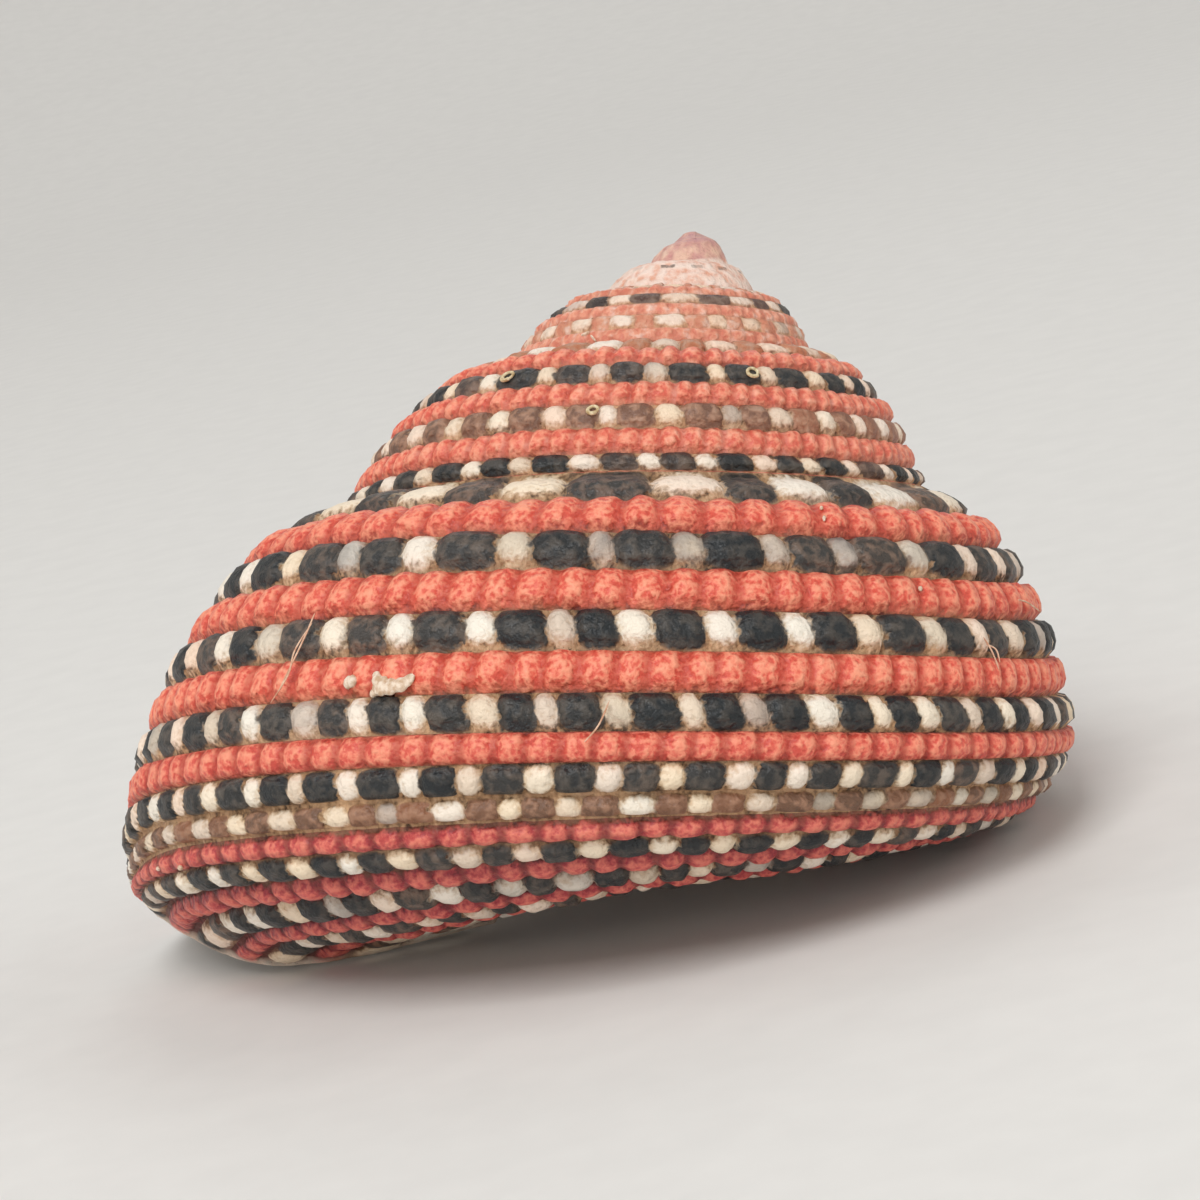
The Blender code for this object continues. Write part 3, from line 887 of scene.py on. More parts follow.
def tube_ring(grid, depth):
    """The hollow's edge at a depth, at the grid's own rows: a smooth curve through the frame's ring
    against the cord going down and its mirror in the ring's cord coming back. Towards the middle it
    carries fine ridges, half of 1 plus the cosine of the cord, and the tooth, a bell in cord and
    depth."""
    ring = frame_tube_ring(depth)
    down = np.array((0.0,) + FRAME_SPIRE_CORDS + FRAME_BASE_CORDS)
    back = 2 * RING_CORD - np.array(FRAME_BASE_CORDS[-2::-1] + (SEAM_CORD,))
    knots = np.concatenate((down, back))
    table = np.column_stack((knots, np.concatenate((ring, ring[:1]))))
    rows_back = grid.cords[grid.last_row - 1 : grid.seam_row : -1]
    place = np.concatenate((grid.cords, 2 * RING_CORD - rows_back))
    points = np.stack([curve_through(table, k, place) for k in (1, 2, 3)], axis=-1)

    inward = unit(points.mean(axis=0) - points)
    window = rising(depth, *RIDGES_RISE_TURNS) * falling(depth, *RIDGES_FALL_TURNS)
    window = window * rising(place, *RIDGES_RISE_CORDS) * falling(place, *RIDGES_FALL_CORDS)
    ridges = RIDGE_MM * window * (0.5 + 0.5 * np.cos(2 * math.pi * place / RIDGE_PITCH_CORDS))
    bell = ((place - TOOTH_CORD) / TOOTH_WIDTH_CORDS) ** 2
    bell = bell + ((depth - TOOTH_DEPTH_TURNS) / TOOTH_LENGTH_TURNS) ** 2
    tooth = TOOTH_MM * np.exp(-bell) * (depth > 0)
    return points + inward * (ridges + tooth)[:, None]


# ---------------------------------------------------------------- the skin's pieces


class ShellSurface:
    """The whole surface as one set of points and faces: the carved skin, the floor of the navel, the
    lip's edge and the hollow. Its faces are grouped by piece, and every piece takes its points and
    smooth normals from here, so that the pieces meet without a line."""

    def __init__(self, place, groove_depth):
        grid = SkinGrid()
        self.grid = grid
        self.place = place
        turn = grid.turn[grid.used]
        cord = grid.cord[grid.used]
        _, _, outward, spacing = surface_frame(turn, cord)
        surface = shell_point(turn, cord)
        lip_mm = lip_distance(turn, cord, np.hypot(surface[:, 0], surface[:, 1]))
        depth = carve(turn, cord, spacing, lip_mm, groove_depth)
        lumpy = rising(turn, *LUMPS_START) * smooth_step(lip_mm / LIFT_ENDS_MM) * (cord < NAVEL_CORD)
        rise = lift(turn, cord, lip_mm) + LUMP_MM * (lumps(surface) - LUMP_LEVEL) * lumpy
        self.points = surface + outward * (rise - depth)[:, None]
        self.turns = turn
        self.lip_distances = np.minimum(lip_mm, FAR_FROM_LIP_MM)
        self.add_points([(0.0, 0.0, DOME_TOP_MM - CLEARANCE_MM)], FIRST_TURN, FAR_FROM_LIP_MM)
        self.add_points([(0.0, 0.0, -FLOOR_DROP_MM)], LIP_TURN - 1, FAR_FROM_LIP_MM)

        self.groups = {name: [] for name in (OLDER_TURNS, LAST_TURN)}
        self.add_skin_faces()
        self.add_hollow()
        self.normals = self.smooth_normals()
        self.add_cap()

    def add_points(self, points, turn, lip_mm):
        """Adds points with the turn and the distance to the lip that the materials read there.
        Returns their numbers."""
        first = len(self.points)
        self.points = np.concatenate((self.points, points))
        self.turns = np.append(self.turns, np.full(len(points), turn))
        self.lip_distances = np.append(self.lip_distances, np.full(len(points), lip_mm))
        return first + np.arange(len(points))

    def add_skin_faces(self):
        """Sorts the skin's faces by piece. Each face belongs to one cord, and its corners carry the
        bead count and the cord that its material reads."""
        grid = self.grid
        point = grid.point.ravel()
        turn = grid.turn.ravel()
        cord = np.ascontiguousarray(grid.cord).ravel()
        for corners in grid.faces():
            number = cord_number(cord[corners].mean(axis=1))[:, None]
            bead = bead_place(turn[corners], cord[corners], number)
            uv = np.stack((bead, number + cord_offset(cord[corners], number)), axis=-1)
            faded = scatter(np.floor(bead) + 0.5, number + 0.3) ** 2
            tone = eased_tone(turn[corners], number) * (1 - FADED_SHARE * faded)
            red = np.broadcast_to(CORD_KIND[number], tone.shape)
            half_white = white_half(turn[corners], bead, number)
            kind = np.stack((red, tone, half_white, stain(turn[corners], bead, number)), axis=-1)
            last = corners.min(axis=1) // (grid.last_row + 1) >= grid.mouth_column
            for name, chosen in ((OLDER_TURNS, ~last), (LAST_TURN, last)):
                if chosen.any():
                    group = (point[corners[chosen]], uv[chosen], kind[chosen], OUTER_SLOT)
                    self.groups[name].append(group)
        ring = grid.point[grid.mouth_column :, grid.last_row]
        floor = np.full(len(ring) - 1, grid.navel_floor)
        fan = np.stack((ring[:-1], ring[1:], floor), axis=-1)
        self.add_plain_faces(LAST_TURN, fan, np.full(fan.shape, RING_CORD), OUTER_SLOT)

    def add_plain_faces(self, name, faces, cords, slot):
        """Adds faces with no beads: their corners carry only the cord."""
        uv = np.stack((np.zeros(faces.shape), cords), axis=-1)
        kind = np.broadcast_to(np.array((0.0, 1.0, 0.25, 0.0)), faces.shape + (4,))
        self.groups[name].append((faces, uv, kind, slot))

    def add_hollow(self):
        """Adds the lip's edge, the rings of the hollow and its pinched end. The edge runs down the
        lip only, and comes to a point at both ends, so it starts and ends with a triangle."""
        grid = self.grid
        last = grid.last_row
        ring = grid.lip_loop()
        place = np.concatenate((grid.cords, grid.cords[last - 1 : grid.seam_row : -1]))
        place_after = np.roll(place, -1)
        cords = np.stack((place, place, place_after, place_after), axis=-1)
        for depth in TUBE_DEPTHS:
            points = tube_ring(grid, depth)
            inner = self.add_points(points, LIP_TURN - depth, depth * 2 * math.pi * LIP_RADIUS_MM)
            if depth == 0.0:
                inner[0] = ring[0]
                inner[last:] = ring[last:]
            quads = np.stack((ring, inner, np.roll(inner, -1), np.roll(ring, -1)), axis=-1)
            if depth == 0.0:
                self.add_plain_faces(LAST_TURN, quads[:1, [0, 2, 3]], cords[:1, [0, 2, 3]], OUTER_SLOT)
                end = slice(last - 1, last)
                self.add_plain_faces(LAST_TURN, quads[end, :3], cords[end, :3], OUTER_SLOT)
                edge = slice(1, last - 1)
                self.add_plain_faces(LAST_TURN, quads[edge], cords[edge], OUTER_SLOT)
            else:
                self.add_plain_faces(LAST_TURN, quads, cords, INNER_SLOT)
            ring = inner
        middle = self.add_points(points.mean(axis=0)[None], LIP_TURN - depth, FAR_FROM_LIP_MM)
        fan = np.stack((ring, np.full(len(ring), middle), np.roll(ring, -1)), axis=-1)
        self.add_plain_faces(LAST_TURN, fan, cords[:, :3], INNER_SLOT)

    def smooth_normals(self):
        """A normal for each point: the sum of its faces' area vectors, half the cross product of the
        diagonals, at length one."""
        total = np.zeros(self.points.shape)
        for name in self.groups:
            for faces, _, _, _ in self.groups[name]:
                corners = self.points[faces]
                middle = 2 if faces.shape[1] > 3 else 1
                first = corners[:, middle] - corners[:, 0]
                second = corners[:, -1] - corners[:, middle - 1]
                area = np.cross(first, second)
                for k in range(faces.shape[1]):
                    np.add.at(total, faces[:, k], area)
        return unit(total + 1e-12)

    def add_cap(self):
        """Closes both pieces inside the shell, where the turns join: a fan from the edge between
        them to a point on the axis."""
        loop = self.grid.seam_loop()
        after = np.roll(loop, -1)
        inside = [(0.0, 0.0, self.points[loop][:, 2].mean())]
        end = np.full(len(loop), self.add_points(inside, LIP_TURN - 1, FAR_FROM_LIP_MM))
        self.normals = np.concatenate((self.normals, [(0.0, 0.0, -1.0)]))
        older = np.stack((loop, after, end), axis=-1)
        last = np.stack((after, loop, end), axis=-1)
        self.add_plain_faces(OLDER_TURNS, older, np.full(older.shape, SEAM_CORD), OUTER_SLOT)
        self.add_plain_faces(LAST_TURN, last, np.full(last.shape, SEAM_CORD), OUTER_SLOT)

    def piece(self, name, materials):
        """One of the pieces as a mesh object, with what its materials read."""
        groups = self.groups[name]
        used, renumbered = np.unique(
            np.concatenate([faces.ravel() for faces, _, _, _ in groups]), return_inverse=True
        )
        ends = np.cumsum([faces.size for faces, _, _, _ in groups])
        parts = np.split(renumbered, ends[:-1])
        faces = [part.reshape(group[0].shape) for part, group in zip(parts, groups)]
        made = new_mesh(name, self.place.placed(self.points[used]), faces, materials)
        mesh = made.data
        slots = np.concatenate([np.full(len(faces), slot) for faces, _, _, slot in groups])
        mesh.polygons.foreach_set("material_index", slots.astype(np.int32))
        uv = np.concatenate([uv.reshape(-1, 2) for _, uv, _, _ in groups])
        layer = mesh.uv_layers.new(name=BEAD_MAP, do_init=False)
        layer.uv.foreach_set("vector", np.ascontiguousarray(uv, dtype=np.float32).ravel())
        kind = np.concatenate([kind.reshape(-1, 4) for _, _, kind, _ in groups])
        colours = mesh.attributes.new(CORD_ATTRIBUTE, "FLOAT_COLOR", "CORNER")
        colours.data.foreach_set("color", np.ascontiguousarray(kind, dtype=np.float32).ravel())
        point_values(mesh, "turn", self.turns[used])
        point_values(mesh, "lip_mm", self.lip_distances[used])
        normals = self.normals[used] @ self.place.turning.T
        mesh.normals_split_custom_set_from_vertices(normals)
        return made


# ---------------------------------------------------------------- small things dried on to the shell


def top_of_beads(turn, cord, height_mm):
    """A place a height above the tops of the beads, and the directions along the coil, down the
    section and out of the shell there."""
    along, down, outward, _ = surface_frame(turn, cord)
    place = shell_point(turn, cord)
    lip_mm = lip_distance(turn, cord, np.hypot(place[..., 0], place[..., 1]))
    rise = np.asarray(height_mm - CLEARANCE_MM + lift(turn, cord, lip_mm))
    return place + outward * rise[..., None], along, down, outward


def smooth_path(knots, count):
    """Places evenly spread along a smooth curve through a few, each a tuple of numbers."""
    table = np.array([(k,) + knot for k, knot in enumerate(knots)], dtype=float)
    at = np.linspace(0, len(knots) - 1, count)
    return np.stack([curve_through(table, k, at) for k in range(1, table.shape[1])], axis=-1)


def crust_path(crust, seed):
    """A crumb draped over the carving: its places run along its heading, on the skin, and its half
    width and height follow the square root of one less the offset squared, roughened by sines."""
    turn, cord, length, width, height, heading = crust
    angle = math.radians(heading)
    offset = np.linspace(-1.0, 1.0, CRUST_RINGS)
    reach = offset * length / 2
    place = shell_point(turn, cord)
    radius = math.hypot(place[0], place[1])
    spacing = surface_frame(turn, cord)[3]
    turns = turn + reach * math.cos(angle) / (2 * math.pi * radius)
    cords = cord + reach * math.sin(angle) / spacing
    depth = carve(turns, cords, spacing, np.full(CRUST_RINGS, FAR_FROM_LIP_MM), 1.0)
    centres, along, down, outward = top_of_beads(turns, cords, -CRUST_SINKS * depth)
    side = np.cross(outward, along * math.cos(angle) + down * math.sin(angle))
    round_off = np.sqrt(1 - offset**2)
    rough = 1 + sum(share * np.sin(waves * offset + shift * seed) for share, waves, shift in CRUST_WAVES)
    return centres, side, outward, round_off * rough * width / 2, round_off * rough * height, CRUST_SIDES


def fibre_path(fibre, radius_mm):
    """A thin thread through its places, tapering at both ends."""
    knots = smooth_path(fibre, FIBRE_RINGS)
    centres, _, _, outward = top_of_beads(knots[:, 0], knots[:, 1], knots[:, 2])
    ahead = unit(np.gradient(centres, axis=0))
    side = unit(np.cross(outward, ahead))
    up = np.cross(ahead, side)
    from_middle = np.abs(np.linspace(-1, 1, FIBRE_RINGS))
    taper = radius_mm * (1 - FIBRE_TAPER * from_middle**FIBRE_TAPER_POWER)
    return centres, side, up, taper, taper, FIBRE_SIDES


def worm_tube_path(worm_tube):
    """A tiny limy coil lying on the shell: a circle that opens by a third along its length."""
    turn, cord, radius = worm_tube
    centre, along, down, outward = top_of_beads(turn, cord, -WORM_TUBE_SINKS_MM)
    angle = np.linspace(0, 2 * math.pi * WORM_TUBE_TURNS, WORM_TUBE_RINGS)
    grown = angle / angle[-1]
    opening = radius * (WORM_TUBE_FIRST_RADIUS + (1 - WORM_TUBE_FIRST_RADIUS) * grown)
    spoke = along * np.cos(angle)[:, None] + down * np.sin(angle)[:, None]
    climb = WORM_TUBE_CLIMBS_MM * grown
    centres = centre + spoke * opening[:, None] + outward * climb[:, None]
    thinness = WORM_TUBE_FIRST_THICKNESS + (1 - WORM_TUBE_FIRST_THICKNESS) * grown
    thickness = WORM_TUBE_THICKNESS_MM * thinness
    up = np.broadcast_to(outward, centres.shape)
    return centres, spoke, up, thickness, thickness, WORM_TUBE_SIDES


def small_things(name, paths, place, material):
    """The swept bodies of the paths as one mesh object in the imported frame."""
    points, faces = swept_mesh(paths)
    return new_mesh(name, place.placed(points), faces, [material])


# ---------------------------------------------------------------- colours and materials


def linear_from_hex(text):
    """The linear value of an sRGB hex colour: each channel over 12.92 where small, and otherwise
    0.055 added, divided by 1.055, to the power 2.4."""
    channels = [int(text[k : k + 2], 16) / 255 for k in (1, 3, 5)]
    return [c / 12.92 if c <= 0.04045 else ((c + 0.055) / 1.055) ** 2.4 for c in channels]


def add_node(tree, kind, inputs=None, stops=None, **settings):
    """Adds a node of a kind with its settings. An input takes a value, a socket, or a node whose
    first output in use it is linked to. Stops are the places and colours of a ramp."""
    node = tree.nodes.new(kind)
    for name, value in settings.items():
        setattr(node, name, value)
    for name, value in (inputs or {}).items():
        if isinstance(value, bpy.types.Node):
            value = next(output for output in value.outputs if output.enabled)
        if isinstance(value, bpy.types.NodeSocket):
            tree.links.new(value, node.inputs[name])
        else:
            node.inputs[name].default_value = value
    for k, (place, colour) in enumerate(stops or ()):
        stop = node.color_ramp.elements[k] if k < 2 else node.color_ramp.elements.new(place)
        stop.position = place
        stop.color = (*colour, 1.0)
    return node


def new_material(name):
    """An empty material and its Principled shader, joined to the output."""
    material = bpy.data.materials.new(name)
    material.use_nodes = True
    tree = material.node_tree
    tree.nodes.clear()
    shader = add_node(tree, PRINCIPLED)
    add_node(tree, "ShaderNodeOutputMaterial", {"Surface": shader})
    return material, tree, shader


PRINCIPLED = "ShaderNodeBsdfPrincipled"
MATH = "ShaderNodeMath"
MIX = "ShaderNodeMix"
RANGE = "ShaderNodeMapRange"
NOISE = "ShaderNodeTexNoise"
RAMP = "ShaderNodeValToRGB"
BUMP = "ShaderNodeBump"
# Inputs go by number. A Range node has its value at 0, the range it comes from at 1 and 2 and the one
# it goes to at 3 and 4. A Mix node has its share at 0, and two numbers at 2 and 3 or two colours here
FIRST, SECOND = 6, 7

# Sizes of the natural grain, in millimetres. The grain of real lime is too fine to show at this
# distance, so it is drawn as coarse as these
GRAIN_MM = 0.12
FLECK_MM = 0.24
PATCH_MM = 0.80
FIBRE_GRAIN_MM = 0.2
WORM_TUBE_GRAIN_MM = 0.1
STAIN_MM = 2.20
# Tints that the cream beads are multiplied by, each by chance: pinkish, plain, warm and greyish
CREAM_TINTS = ((0.0, "#FFE9DC"), (0.35, "#FFFFFF"), (0.7, "#FFF1DE"), (1.0, "#EADDD6"))


def per_metre(size_mm):
    """A noise scale: how many of a size in millimetres there are in a metre."""
    return 1.0 / (size_mm * MM)


def shell_signals(tree):
    """What the parts of the carved shell's material read: the grain at four sizes, the cord and the
    place along it, what kind of bead is there, and the height of the bead."""
    place = add_node(tree, "ShaderNodeTexCoord").outputs["Object"]
    bead_map = add_node(tree, "ShaderNodeUVMap", uv_map=BEAD_MAP)
    on_bead = add_node(tree, "ShaderNodeSeparateXYZ", {0: bead_map})
    count, cord = on_bead.outputs[0], on_bead.outputs[1]
    cord_kind = add_node(tree, "ShaderNodeAttribute", attribute_name=CORD_ATTRIBUTE)
    kind = add_node(tree, "ShaderNodeSeparateColor", {0: cord_kind.outputs["Color"]})
    red, tone, half_white = kind.outputs[0], kind.outputs[1], kind.outputs[2]
    turn = add_node(tree, "ShaderNodeAttribute", attribute_name="turn").outputs["Fac"]
    lip_mm = add_node(tree, "ShaderNodeAttribute", attribute_name="lip_mm").outputs["Fac"]

    grain = add_node(tree, NOISE, {"Vector": place, "Scale": per_metre(GRAIN_MM), "Detail": 3.0})
    fleck = add_node(tree, NOISE, {"Vector": place, "Scale": per_metre(FLECK_MM), "Detail": 3.0})
    patch = add_node(tree, NOISE, {"Vector": place, "Scale": per_metre(PATCH_MM), "Detail": 2.0})
    stain = add_node(tree, NOISE, {"Vector": place, "Scale": per_metre(STAIN_MM), "Detail": 2.0})

    # Where on its bead a point is: the offset from a white bead's middle, in pairs, with a ragged edge
    ragged = add_node(tree, RANGE, {0: fleck, 1: 0.3, 2: 0.7, 3: -0.05, 4: 0.05})
    off = add_node(tree, MATH, {0: count, 1: 0.5}, operation="PINGPONG")
    off_ragged = add_node(tree, MATH, {0: off, 1: ragged}, operation="ADD")
    inside_white = add_node(tree, MATH, {0: half_white, 1: off_ragged}, operation="SUBTRACT")
    white = add_node(
        tree, RANGE, {0: inside_white, 1: -0.03, 2: 0.03, 3: 0.0, 4: 1.0}, interpolation_type="SMOOTHSTEP"
    )

    # The height of the bead, by the same powers as the carving
    across = add_node(tree, MATH, {0: cord, 1: 0.5}, operation="PINGPONG")
    across = add_node(tree, MATH, {0: across, 1: 2.0}, operation="MULTIPLY")
    seam = add_node(tree, MATH, {0: off, 1: math.pi}, operation="MULTIPLY")
    seam = add_node(tree, MATH, {0: seam}, operation="SINE")
    seam = add_node(tree, MATH, {0: seam, 1: RED_SEAM_POWER}, operation="POWER")
    seam = add_node(tree, MATH, {0: seam, 1: red}, operation="MULTIPLY")
    scallop = add_node(tree, RANGE, {0: seam, 1: 0.0, 2: 1.0, 3: 1.0, 4: 1.0 + RED_SCALLOP})
    across = add_node(tree, MATH, {0: across, 1: scallop}, operation="MULTIPLY")
    power = add_node(tree, MIX, {0: white, 2: DARK_POWER, 3: WHITE_POWER})
    power = add_node(tree, MIX, {0: red, 2: power, 3: RED_POWER})
    across = add_node(tree, MATH, {0: across, 1: power}, operation="POWER")
    from_middle = add_node(tree, MATH, {0: off, 1: half_white}, operation="DIVIDE")
    half_dark = add_node(tree, MATH, {0: 0.5, 1: half_white}, operation="SUBTRACT")
    from_dark = add_node(tree, MATH, {0: 0.5, 1: off}, operation="SUBTRACT")
    from_dark = add_node(tree, MATH, {0: from_dark, 1: half_dark}, operation="DIVIDE")
    along = add_node(tree, MIX, {0: white, 2: from_dark, 3: from_middle})
    along = add_node(tree, MATH, {0: along, 1: PAIR_FULLNESS}, operation="MULTIPLY")
    along = add_node(tree, MATH, {0: along, 1: power}, operation="POWER")
    along = add_node(tree, MIX, {0: red, 2: along, 3: 0.0})
    fall = add_node(tree, MATH, {0: across, 1: along}, operation="ADD")
    fall = add_node(tree, MATH, {0: 1.0, 1: fall}, operation="SUBTRACT", use_clamp=True)
    top = add_node(tree, MATH, {0: fall, 1: BEAD_ROUNDNESS}, operation="POWER")
    dip = add_node(tree, RANGE, {0: seam, 1: 0.0, 2: 1.0, 3: 1.0, 4: 1.0 - RED_DIP})
    top = add_node(tree, MATH, {0: top, 1: dip}, operation="MULTIPLY")

    # The same height with the grain worked in, which the red and cream beads read for their painted shade
    # low down and painted highlight on top, and which the specks read
    grained = add_node(tree, RANGE, {0: grain, 1: 0.3, 2: 0.7, 3: -0.20, 4: 0.20})
    flecked = add_node(tree, RANGE, {0: fleck, 1: 0.3, 2: 0.7, 3: -0.20, 4: 0.20})
    level = add_node(tree, MATH, {0: top, 1: grained}, operation="ADD")
    level = add_node(tree, MATH, {0: level, 1: flecked}, operation="ADD", use_clamp=True)
    on_cord = add_node(tree, MATH, {0: cord}, operation="ROUND")
    # How far towards the base a point is: the cords turn crimson there, partly their own colour and partly
    # painted shade of the underside
    to_base = add_node(tree, RANGE, {0: cord, 1: 7.0, 2: 11.5, 3: 0.0, 4: 1.0})
    return SimpleNamespace(
        count=count,
        cord=cord,
        on_cord=on_cord,
        to_base=to_base,
        turn=turn,
        lip_mm=lip_mm,
        red=red,
        white=white,
        tone=tone,
        stained=cord_kind.outputs["Alpha"],
        grain=grain,
        fleck=fleck,
        patch=patch,
        stain=stain,
        seam=seam,
        top=top,
        grained=grained,
        flecked=flecked,
        level=level,
    )


def red_cord_colour(tree, colours, at):
    """Coral red cords, which turn crimson on the base (partly painted shade), with painted shade in the
    grooves and the seams between beads, and painted highlights and highlight flecks on the bead tops.
    """
    # By the bead's height with grain: painted shade in the grooves and seams, painted highlight on the tops
    coral = add_node(
        tree,
        RAMP,
        {0: at.level},
        (
            (0.0, colours.coral_groove_shade),
            (0.30, colours.coral_seam_shade),
            (0.66, colours.coral),
            (1.0, colours.coral_top_highlight),
        ),
    )
    # The base's crimson, partly painted shade of the underside, with painted shade low down and painted
    # highlight on the tops
    crimson = add_node(
        tree,
        RAMP,
        {0: at.level},
        ((0.0, colours.crimson_groove_shade), (0.45, colours.crimson), (1.0, colours.crimson_top_highlight)),
    )
    red_colour = add_node(
        tree, MIX, {0: at.to_base, FIRST: coral, SECOND: crimson}, data_type="RGBA"
    )
    # Pale flecks on the tops of the red beads, fewer on the base: painted highlights
    highlight_flecks = add_node(tree, MATH, {0: at.grain, 1: at.fleck}, operation="ADD")
    highlight_flecks = add_node(tree, RANGE, {0: highlight_flecks, 1: 0.85, 2: 1.25, 3: 0.0, 4: 0.75})
    highlight_flecks = add_node(tree, MATH, {0: highlight_flecks, 1: at.top}, operation="MULTIPLY")
    off_base = add_node(tree, RANGE, {0: at.to_base, 1: 0.0, 2: 1.0, 3: 1.0, 4: 0.35})
    highlight_flecks = add_node(tree, MATH, {0: highlight_flecks, 1: off_base}, operation="MULTIPLY")
    red_colour = add_node(
        tree, MIX, {0: highlight_flecks, FIRST: red_colour, SECOND: (*colours.coral_fleck_highlight, 1.0)}, data_type="RGBA"
    )
    # Darker where a red cord dips between its beads: painted shade in the seams
    bead_seam_shade = add_node(tree, MATH, {0: at.seam, 1: at.flecked}, operation="ADD")
    bead_seam_shade = add_node(
        tree, RANGE, {0: bead_seam_shade, 1: 0.40, 2: 1.10, 3: 0.0, 4: 0.60}, interpolation_type="SMOOTHSTEP"
    )
    bead_seam_shade = add_node(tree, MATH, {0: bead_seam_shade, 1: at.red}, operation="MULTIPLY")
    seam_shade_colour = add_node(
        tree,
        MIX,
        {0: at.to_base, FIRST: (*colours.coral_seam_shade, 1.0), SECOND: (*colours.crimson_groove_shade, 1.0)},
        data_type="RGBA",
    )
    red_colour = add_node(
        tree, MIX, {0: bead_seam_shade, FIRST: red_colour, SECOND: seam_shade_colour}, data_type="RGBA"
    )
    return red_colour


def cream_bead_colour(tree, colours, at):
    """Cream beads, darker on their flanks and edges as painted shade, no two of quite the same tint, some
    stained grey.
    """
    # By the bead's height with grain: painted shade on the flanks and edges
    cream = add_node(
        tree,
        RAMP,
        {0: at.level},
        ((0.0, colours.cream_edge_shade), (0.38, colours.cream_shade), (0.8, colours.cream)),
    )
    which = add_node(tree, MATH, {0: at.count}, operation="ROUND")
    which = add_node(tree, "ShaderNodeCombineXYZ", {0: which, 1: at.on_cord})
    own_tint = add_node(tree, "ShaderNodeTexWhiteNoise", {"Vector": which}, noise_dimensions="2D")
    tints = add_node(
        tree,
        RAMP,
        {0: own_tint.outputs["Value"]},
        [(place, linear_from_hex(text)) for place, text in CREAM_TINTS],
    )
    cream = add_node(
        tree, MIX, {0: 1.0, FIRST: cream, SECOND: tints}, data_type="RGBA", blend_type="MULTIPLY"
    )
    cloud = add_node(tree, RANGE, {0: at.patch, 1: 0.30, 2: 0.62, 3: 0.35, 4: 1.0})
    stained = add_node(tree, MATH, {0: at.stained, 1: cloud}, operation="MULTIPLY")
    cream = add_node(
        tree, MIX, {0: stained, FIRST: cream, SECOND: (*colours.stained, 1.0)}, data_type="RGBA"
    )
    return cream


def dark_bead_colour(tree, colours, at):
    """Dark beads: black, and olive brown or tawny where the cord has them so, with pale flecks."""
    dark = add_node(
        tree,
        RAMP,
        {0: at.tone},
        (
            (0.0, colours.tawny),
            (0.3, colours.olive),
            (0.62, colours.charcoal),
            (1.0, colours.black),
        ),
    )
    dark_flecks = add_node(tree, RANGE, {0: at.fleck, 1: 0.44, 2: 0.62, 3: 0.0, 4: 0.9})
    fleck_share = add_node(tree, RANGE, {0: at.tone, 1: 0.3, 2: 1.0, 3: 0.85, 4: 0.24})
    dark_flecks = add_node(tree, MATH, {0: dark_flecks, 1: fleck_share}, operation="MULTIPLY")
    fleck_tone = add_node(tree, RANGE, {0: at.tone, 1: 0.3, 2: 0.8, 3: 0.0, 4: 1.0})
    fleck_colour = add_node(
        tree,
        MIX,
        {0: fleck_tone, FIRST: (*colours.olive_fleck, 1.0), SECOND: (*colours.fleck, 1.0)},
        data_type="RGBA",
    )
    dark = add_node(tree, MIX, {0: dark_flecks, FIRST: dark, SECOND: fleck_colour}, data_type="RGBA")
    return dark


def groove_dirt_and_shade(tree, colours, at):
    """Dried dirt in the grooves, most of all round the cream and black beads, with the lower side of the
    cream beads turned tan; and on the base, painted shade that darkens the grooves to deep crimson: how much
    of these there is, and their colour."""
    # The lower side of a cream bead turns tan, more towards its bottom
    below = add_node(tree, MATH, {0: at.cord, 1: at.on_cord}, operation="SUBTRACT")
    below = add_node(tree, RANGE, {0: below, 1: 0.10, 2: 0.45, 3: 0.0, 4: 0.50})
    below = add_node(tree, MATH, {0: below, 1: at.white}, operation="MULTIPLY")
    dirt_level = add_node(tree, MATH, {0: at.top, 1: at.grained}, operation="ADD")
    dirt_level = add_node(tree, MATH, {0: dirt_level, 1: below}, operation="SUBTRACT")
    dirt_edge = add_node(tree, RANGE, {0: dirt_level, 1: 0.50, 2: 0.04, 3: 0.0, 4: 1.0})
    # On the base the grooves are darkened to deep crimson: painted shade
    shaded_base = add_node(tree, RANGE, {0: at.cord, 1: 10.8, 2: 13.0, 3: 0.0, 4: 0.90})
    dirt_and_shade_share = add_node(tree, RANGE, {0: at.red, 1: 0.0, 2: 1.0, 3: 0.90, 4: 0.35})
    dirt_and_shade_share = add_node(tree, MATH, {0: dirt_and_shade_share, 1: shaded_base}, operation="MAXIMUM")
    dirt_patch = add_node(tree, RANGE, {0: at.patch, 1: 0.3, 2: 0.6, 3: 0.45, 4: 1.0})
    dirt = add_node(tree, MATH, {0: dirt_edge, 1: dirt_and_shade_share}, operation="MULTIPLY")
    dirt = add_node(tree, MATH, {0: dirt, 1: dirt_patch}, operation="MULTIPLY")
    dirt_grain = add_node(tree, MATH, {0: at.stain, 1: at.grain}, operation="ADD")
    dirt_grain = add_node(tree, MATH, {0: dirt_grain, 1: 0.5}, operation="MULTIPLY")
    dirt_and_shade_colour = add_node(
        tree,
        RAMP,
        {0: dirt_grain},
        ((0.38, colours.dirt_dark), (0.47, colours.dirt), (0.58, colours.dirt_light)),
    )
    dirt_and_shade_colour = add_node(
        tree,
        MIX,
        {0: shaded_base, FIRST: dirt_and_shade_colour, SECOND: (*colours.crimson_groove_shade, 1.0)},
        data_type="RGBA",
    )
    return dirt, dirt_and_shade_colour


